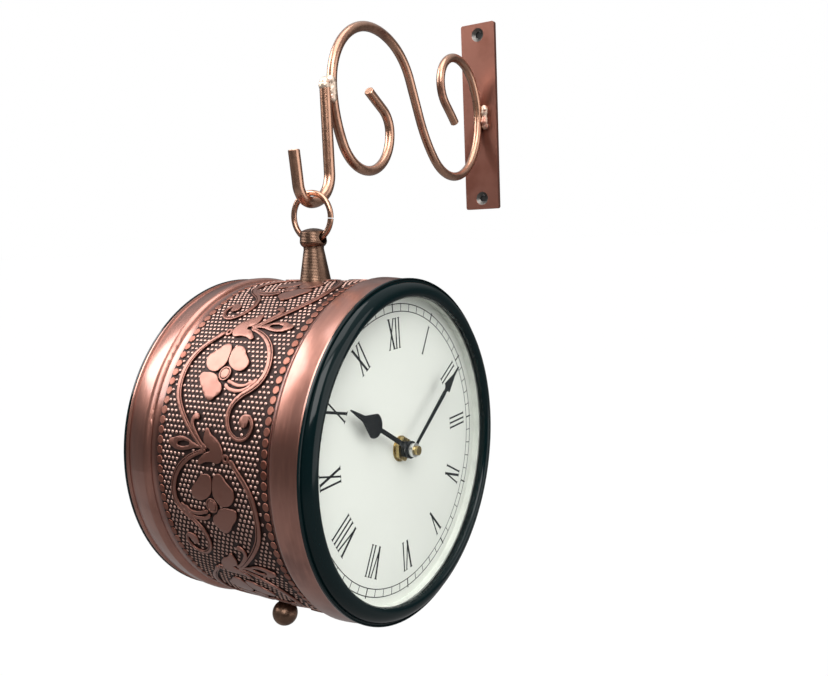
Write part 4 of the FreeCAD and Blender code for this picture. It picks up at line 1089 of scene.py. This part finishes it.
class CLOCK_OT_studio(bpy.types.Operator):
    """Set up the floor, the soft lamps, the room light and the camera"""
    bl_idname = "clock.studio"
    bl_label = "Studio"

    FLOOR_WHITE, FLOOR_GLOW_SHARE = 1.058, 0.94
    TARGET = Vector((-0.17, 0, -0.13))
    # Name, place, width and the setting that holds the power.
    LAMPS = (("key_softbox", (-1.05, -0.75, 0.75), 0.9, "key"),
             ("fill_softbox", (0.15, -1.35, 0.05), 1.2, "fill"),
             ("top_softbox", (-0.30, -0.15, 1.0), 0.9, "fill"),
             ("rear_softbox", (-0.70, 0.95, 0.68), 0.9, "rear"))
    # The room's grey from straight below, at 0, to straight above, at 1.
    ROOM_GREYS = ((0.0, 0.80), (0.20, 0.45), (0.33, 0.15), (0.62, 0.12), (0.78, 0.60), (1.0, 1.0))

    def execute(self, context):
        studio = context.scene.clock_studio
        context.scene.view_settings.view_transform = "Standard"
        self.floor(studio.floor_drop)
        self.room(context.scene, studio.sky)
        for name, place, width, power in self.LAMPS:
            self.softbox(name, place, self.TARGET, width, getattr(studio, power))
        self.camera(context.scene, studio)
        return {"FINISHED"}

    @staticmethod
    def floor(height):
        deselect()
        bpy.ops.mesh.primitive_plane_add(size=80, location=(0, 0, height))
        floor = settle(bpy.context.object)
        floor.name = "studio_floor"
        f = Finish("studio_floor")
        seen = f.node("ShaderNodeLightPath")
        surface = f.node("ShaderNodeBsdfPrincipled", {}, {"Base Color": (0.2, 0.2, 0.2, 1), "Roughness": 0.9})
        white = f.node("ShaderNodeEmission", {}, {
            "Color": (1, 1, 1, 1), "Strength": CLOCK_OT_studio.FLOOR_WHITE})
        glow = seen * CLOCK_OT_studio.FLOOR_GLOW_SHARE
        both = f.node("ShaderNodeMixShader", {}, {0: glow, 1: surface, 2: white})
        output = f.tree.nodes.new("ShaderNodeOutputMaterial")
        f.tree.links.new(both.socket, output.inputs["Surface"])
        dress(floor, f.material)

    @staticmethod
    def room(scene, strength):
        """White to the camera; to the object, a dim room between a pale table and a pale ceiling."""
        world = bpy.data.worlds.new("studio_room")
        world.use_nodes = True
        scene.world = world
        tree = world.node_tree
        tree.nodes.clear()
        place = tree.nodes.new("ShaderNodeTexCoord")
        split = tree.nodes.new("ShaderNodeSeparateXYZ")
        height = tree.nodes.new("ShaderNodeMapRange")
        height.inputs["From Min"].default_value = -1
        ramp = tree.nodes.new("ShaderNodeValToRGB")
        set_stops(ramp.color_ramp, CLOCK_OT_studio.ROOM_GREYS)
        lit = tree.nodes.new("ShaderNodeBackground")
        lit.inputs["Strength"].default_value = strength
        white = tree.nodes.new("ShaderNodeBackground")
        white.inputs["Color"].default_value = (1, 1, 1, 1)
        path = tree.nodes.new("ShaderNodeLightPath")
        mix = tree.nodes.new("ShaderNodeMixShader")
        output = tree.nodes.new("ShaderNodeOutputWorld")
        links = (
            (place.outputs["Generated"], split.inputs[0]), (split.outputs["Z"], height.inputs["Value"]),
            (height.outputs[0], ramp.inputs["Fac"]), (ramp.outputs["Color"], lit.inputs["Color"]),
            (path.outputs["Is Camera Ray"], mix.inputs[0]), (lit.outputs[0], mix.inputs[1]),
            (white.outputs[0], mix.inputs[2]), (mix.outputs[0], output.inputs["Surface"]))
        for start, end in links:
            tree.links.new(start, end)

    @staticmethod
    def softbox(name, at, target, size, power):
        lamp = bpy.data.lights.new(name, "AREA")
        lamp.shape, lamp.size, lamp.energy = "SQUARE", size, power
        obj = bpy.data.objects.new(name, lamp)
        bpy.context.scene.collection.objects.link(obj)
        obj.location = at
        obj.rotation_euler = (target - Vector(at)).to_track_quat("-Z", "Y").to_euler()

    @staticmethod
    def camera(scene, studio):
        data = bpy.data.cameras.new("photo_camera")
        data.sensor_width, data.lens = 36.0, studio.lens
        data.clip_start, data.clip_end = 0.01, 50
        camera = bpy.data.objects.new("photo_camera", data)
        scene.collection.objects.link(camera)
        angles = (studio.camera_yaw, studio.camera_pitch, studio.camera_roll)
        yaw, pitch, roll = (math.radians(angle) for angle in angles)
        ahead = Vector((math.sin(yaw) * math.cos(pitch), math.cos(yaw) * math.cos(pitch), math.sin(pitch)))
        right = Vector((math.cos(yaw), -math.sin(yaw), 0))
        up = right.cross(ahead)
        right, up = (math.cos(roll) * right + math.sin(roll) * up,
                     math.cos(roll) * up - math.sin(roll) * right)
        matrix = Matrix((right, up, -ahead)).transposed().to_4x4()
        matrix.translation = Vector(studio.camera_at)
        camera.matrix_world = matrix
        scene.camera = camera


STEPS = (CLOCK_OT_metalwork, CLOCK_OT_dial_ends, CLOCK_OT_vine, CLOCK_OT_ground, CLOCK_OT_dial_print,
         CLOCK_OT_welds, CLOCK_OT_painted_hole_shade, CLOCK_OT_studio)


class CLOCK_PT_looks(bpy.types.Panel):
    """The clock's steps and settings"""
    bl_idname = "CLOCK_PT_looks"
    bl_label = "Station clock"
    bl_space_type = "VIEW_3D"
    bl_region_type = "UI"
    bl_category = "Clock"

    def draw(self, context):
        column = self.layout.column()
        for step in STEPS:
            column.operator(step.bl_idname)
        for name, group in GROUPS.items():
            column.separator()
            for key in group.__annotations__:
                column.prop(getattr(context.scene, name), key)


def register():
    for cls in (*GROUPS.values(), *STEPS, CLOCK_PT_looks):
        bpy.utils.register_class(cls)
    for name, group in GROUPS.items():
        setattr(bpy.types.Scene, name, bpy.props.PointerProperty(type=group))


def unregister():
    for name in GROUPS:
        delattr(bpy.types.Scene, name)
    for cls in reversed((*GROUPS.values(), *STEPS, CLOCK_PT_looks)):
        bpy.utils.unregister_class(cls)


def main():
    register()
    for step in STEPS:
        area, name = step.bl_idname.split(".")
        getattr(getattr(bpy.ops, area), name)()
    deselect()


if __name__ == "__main__":
    main()
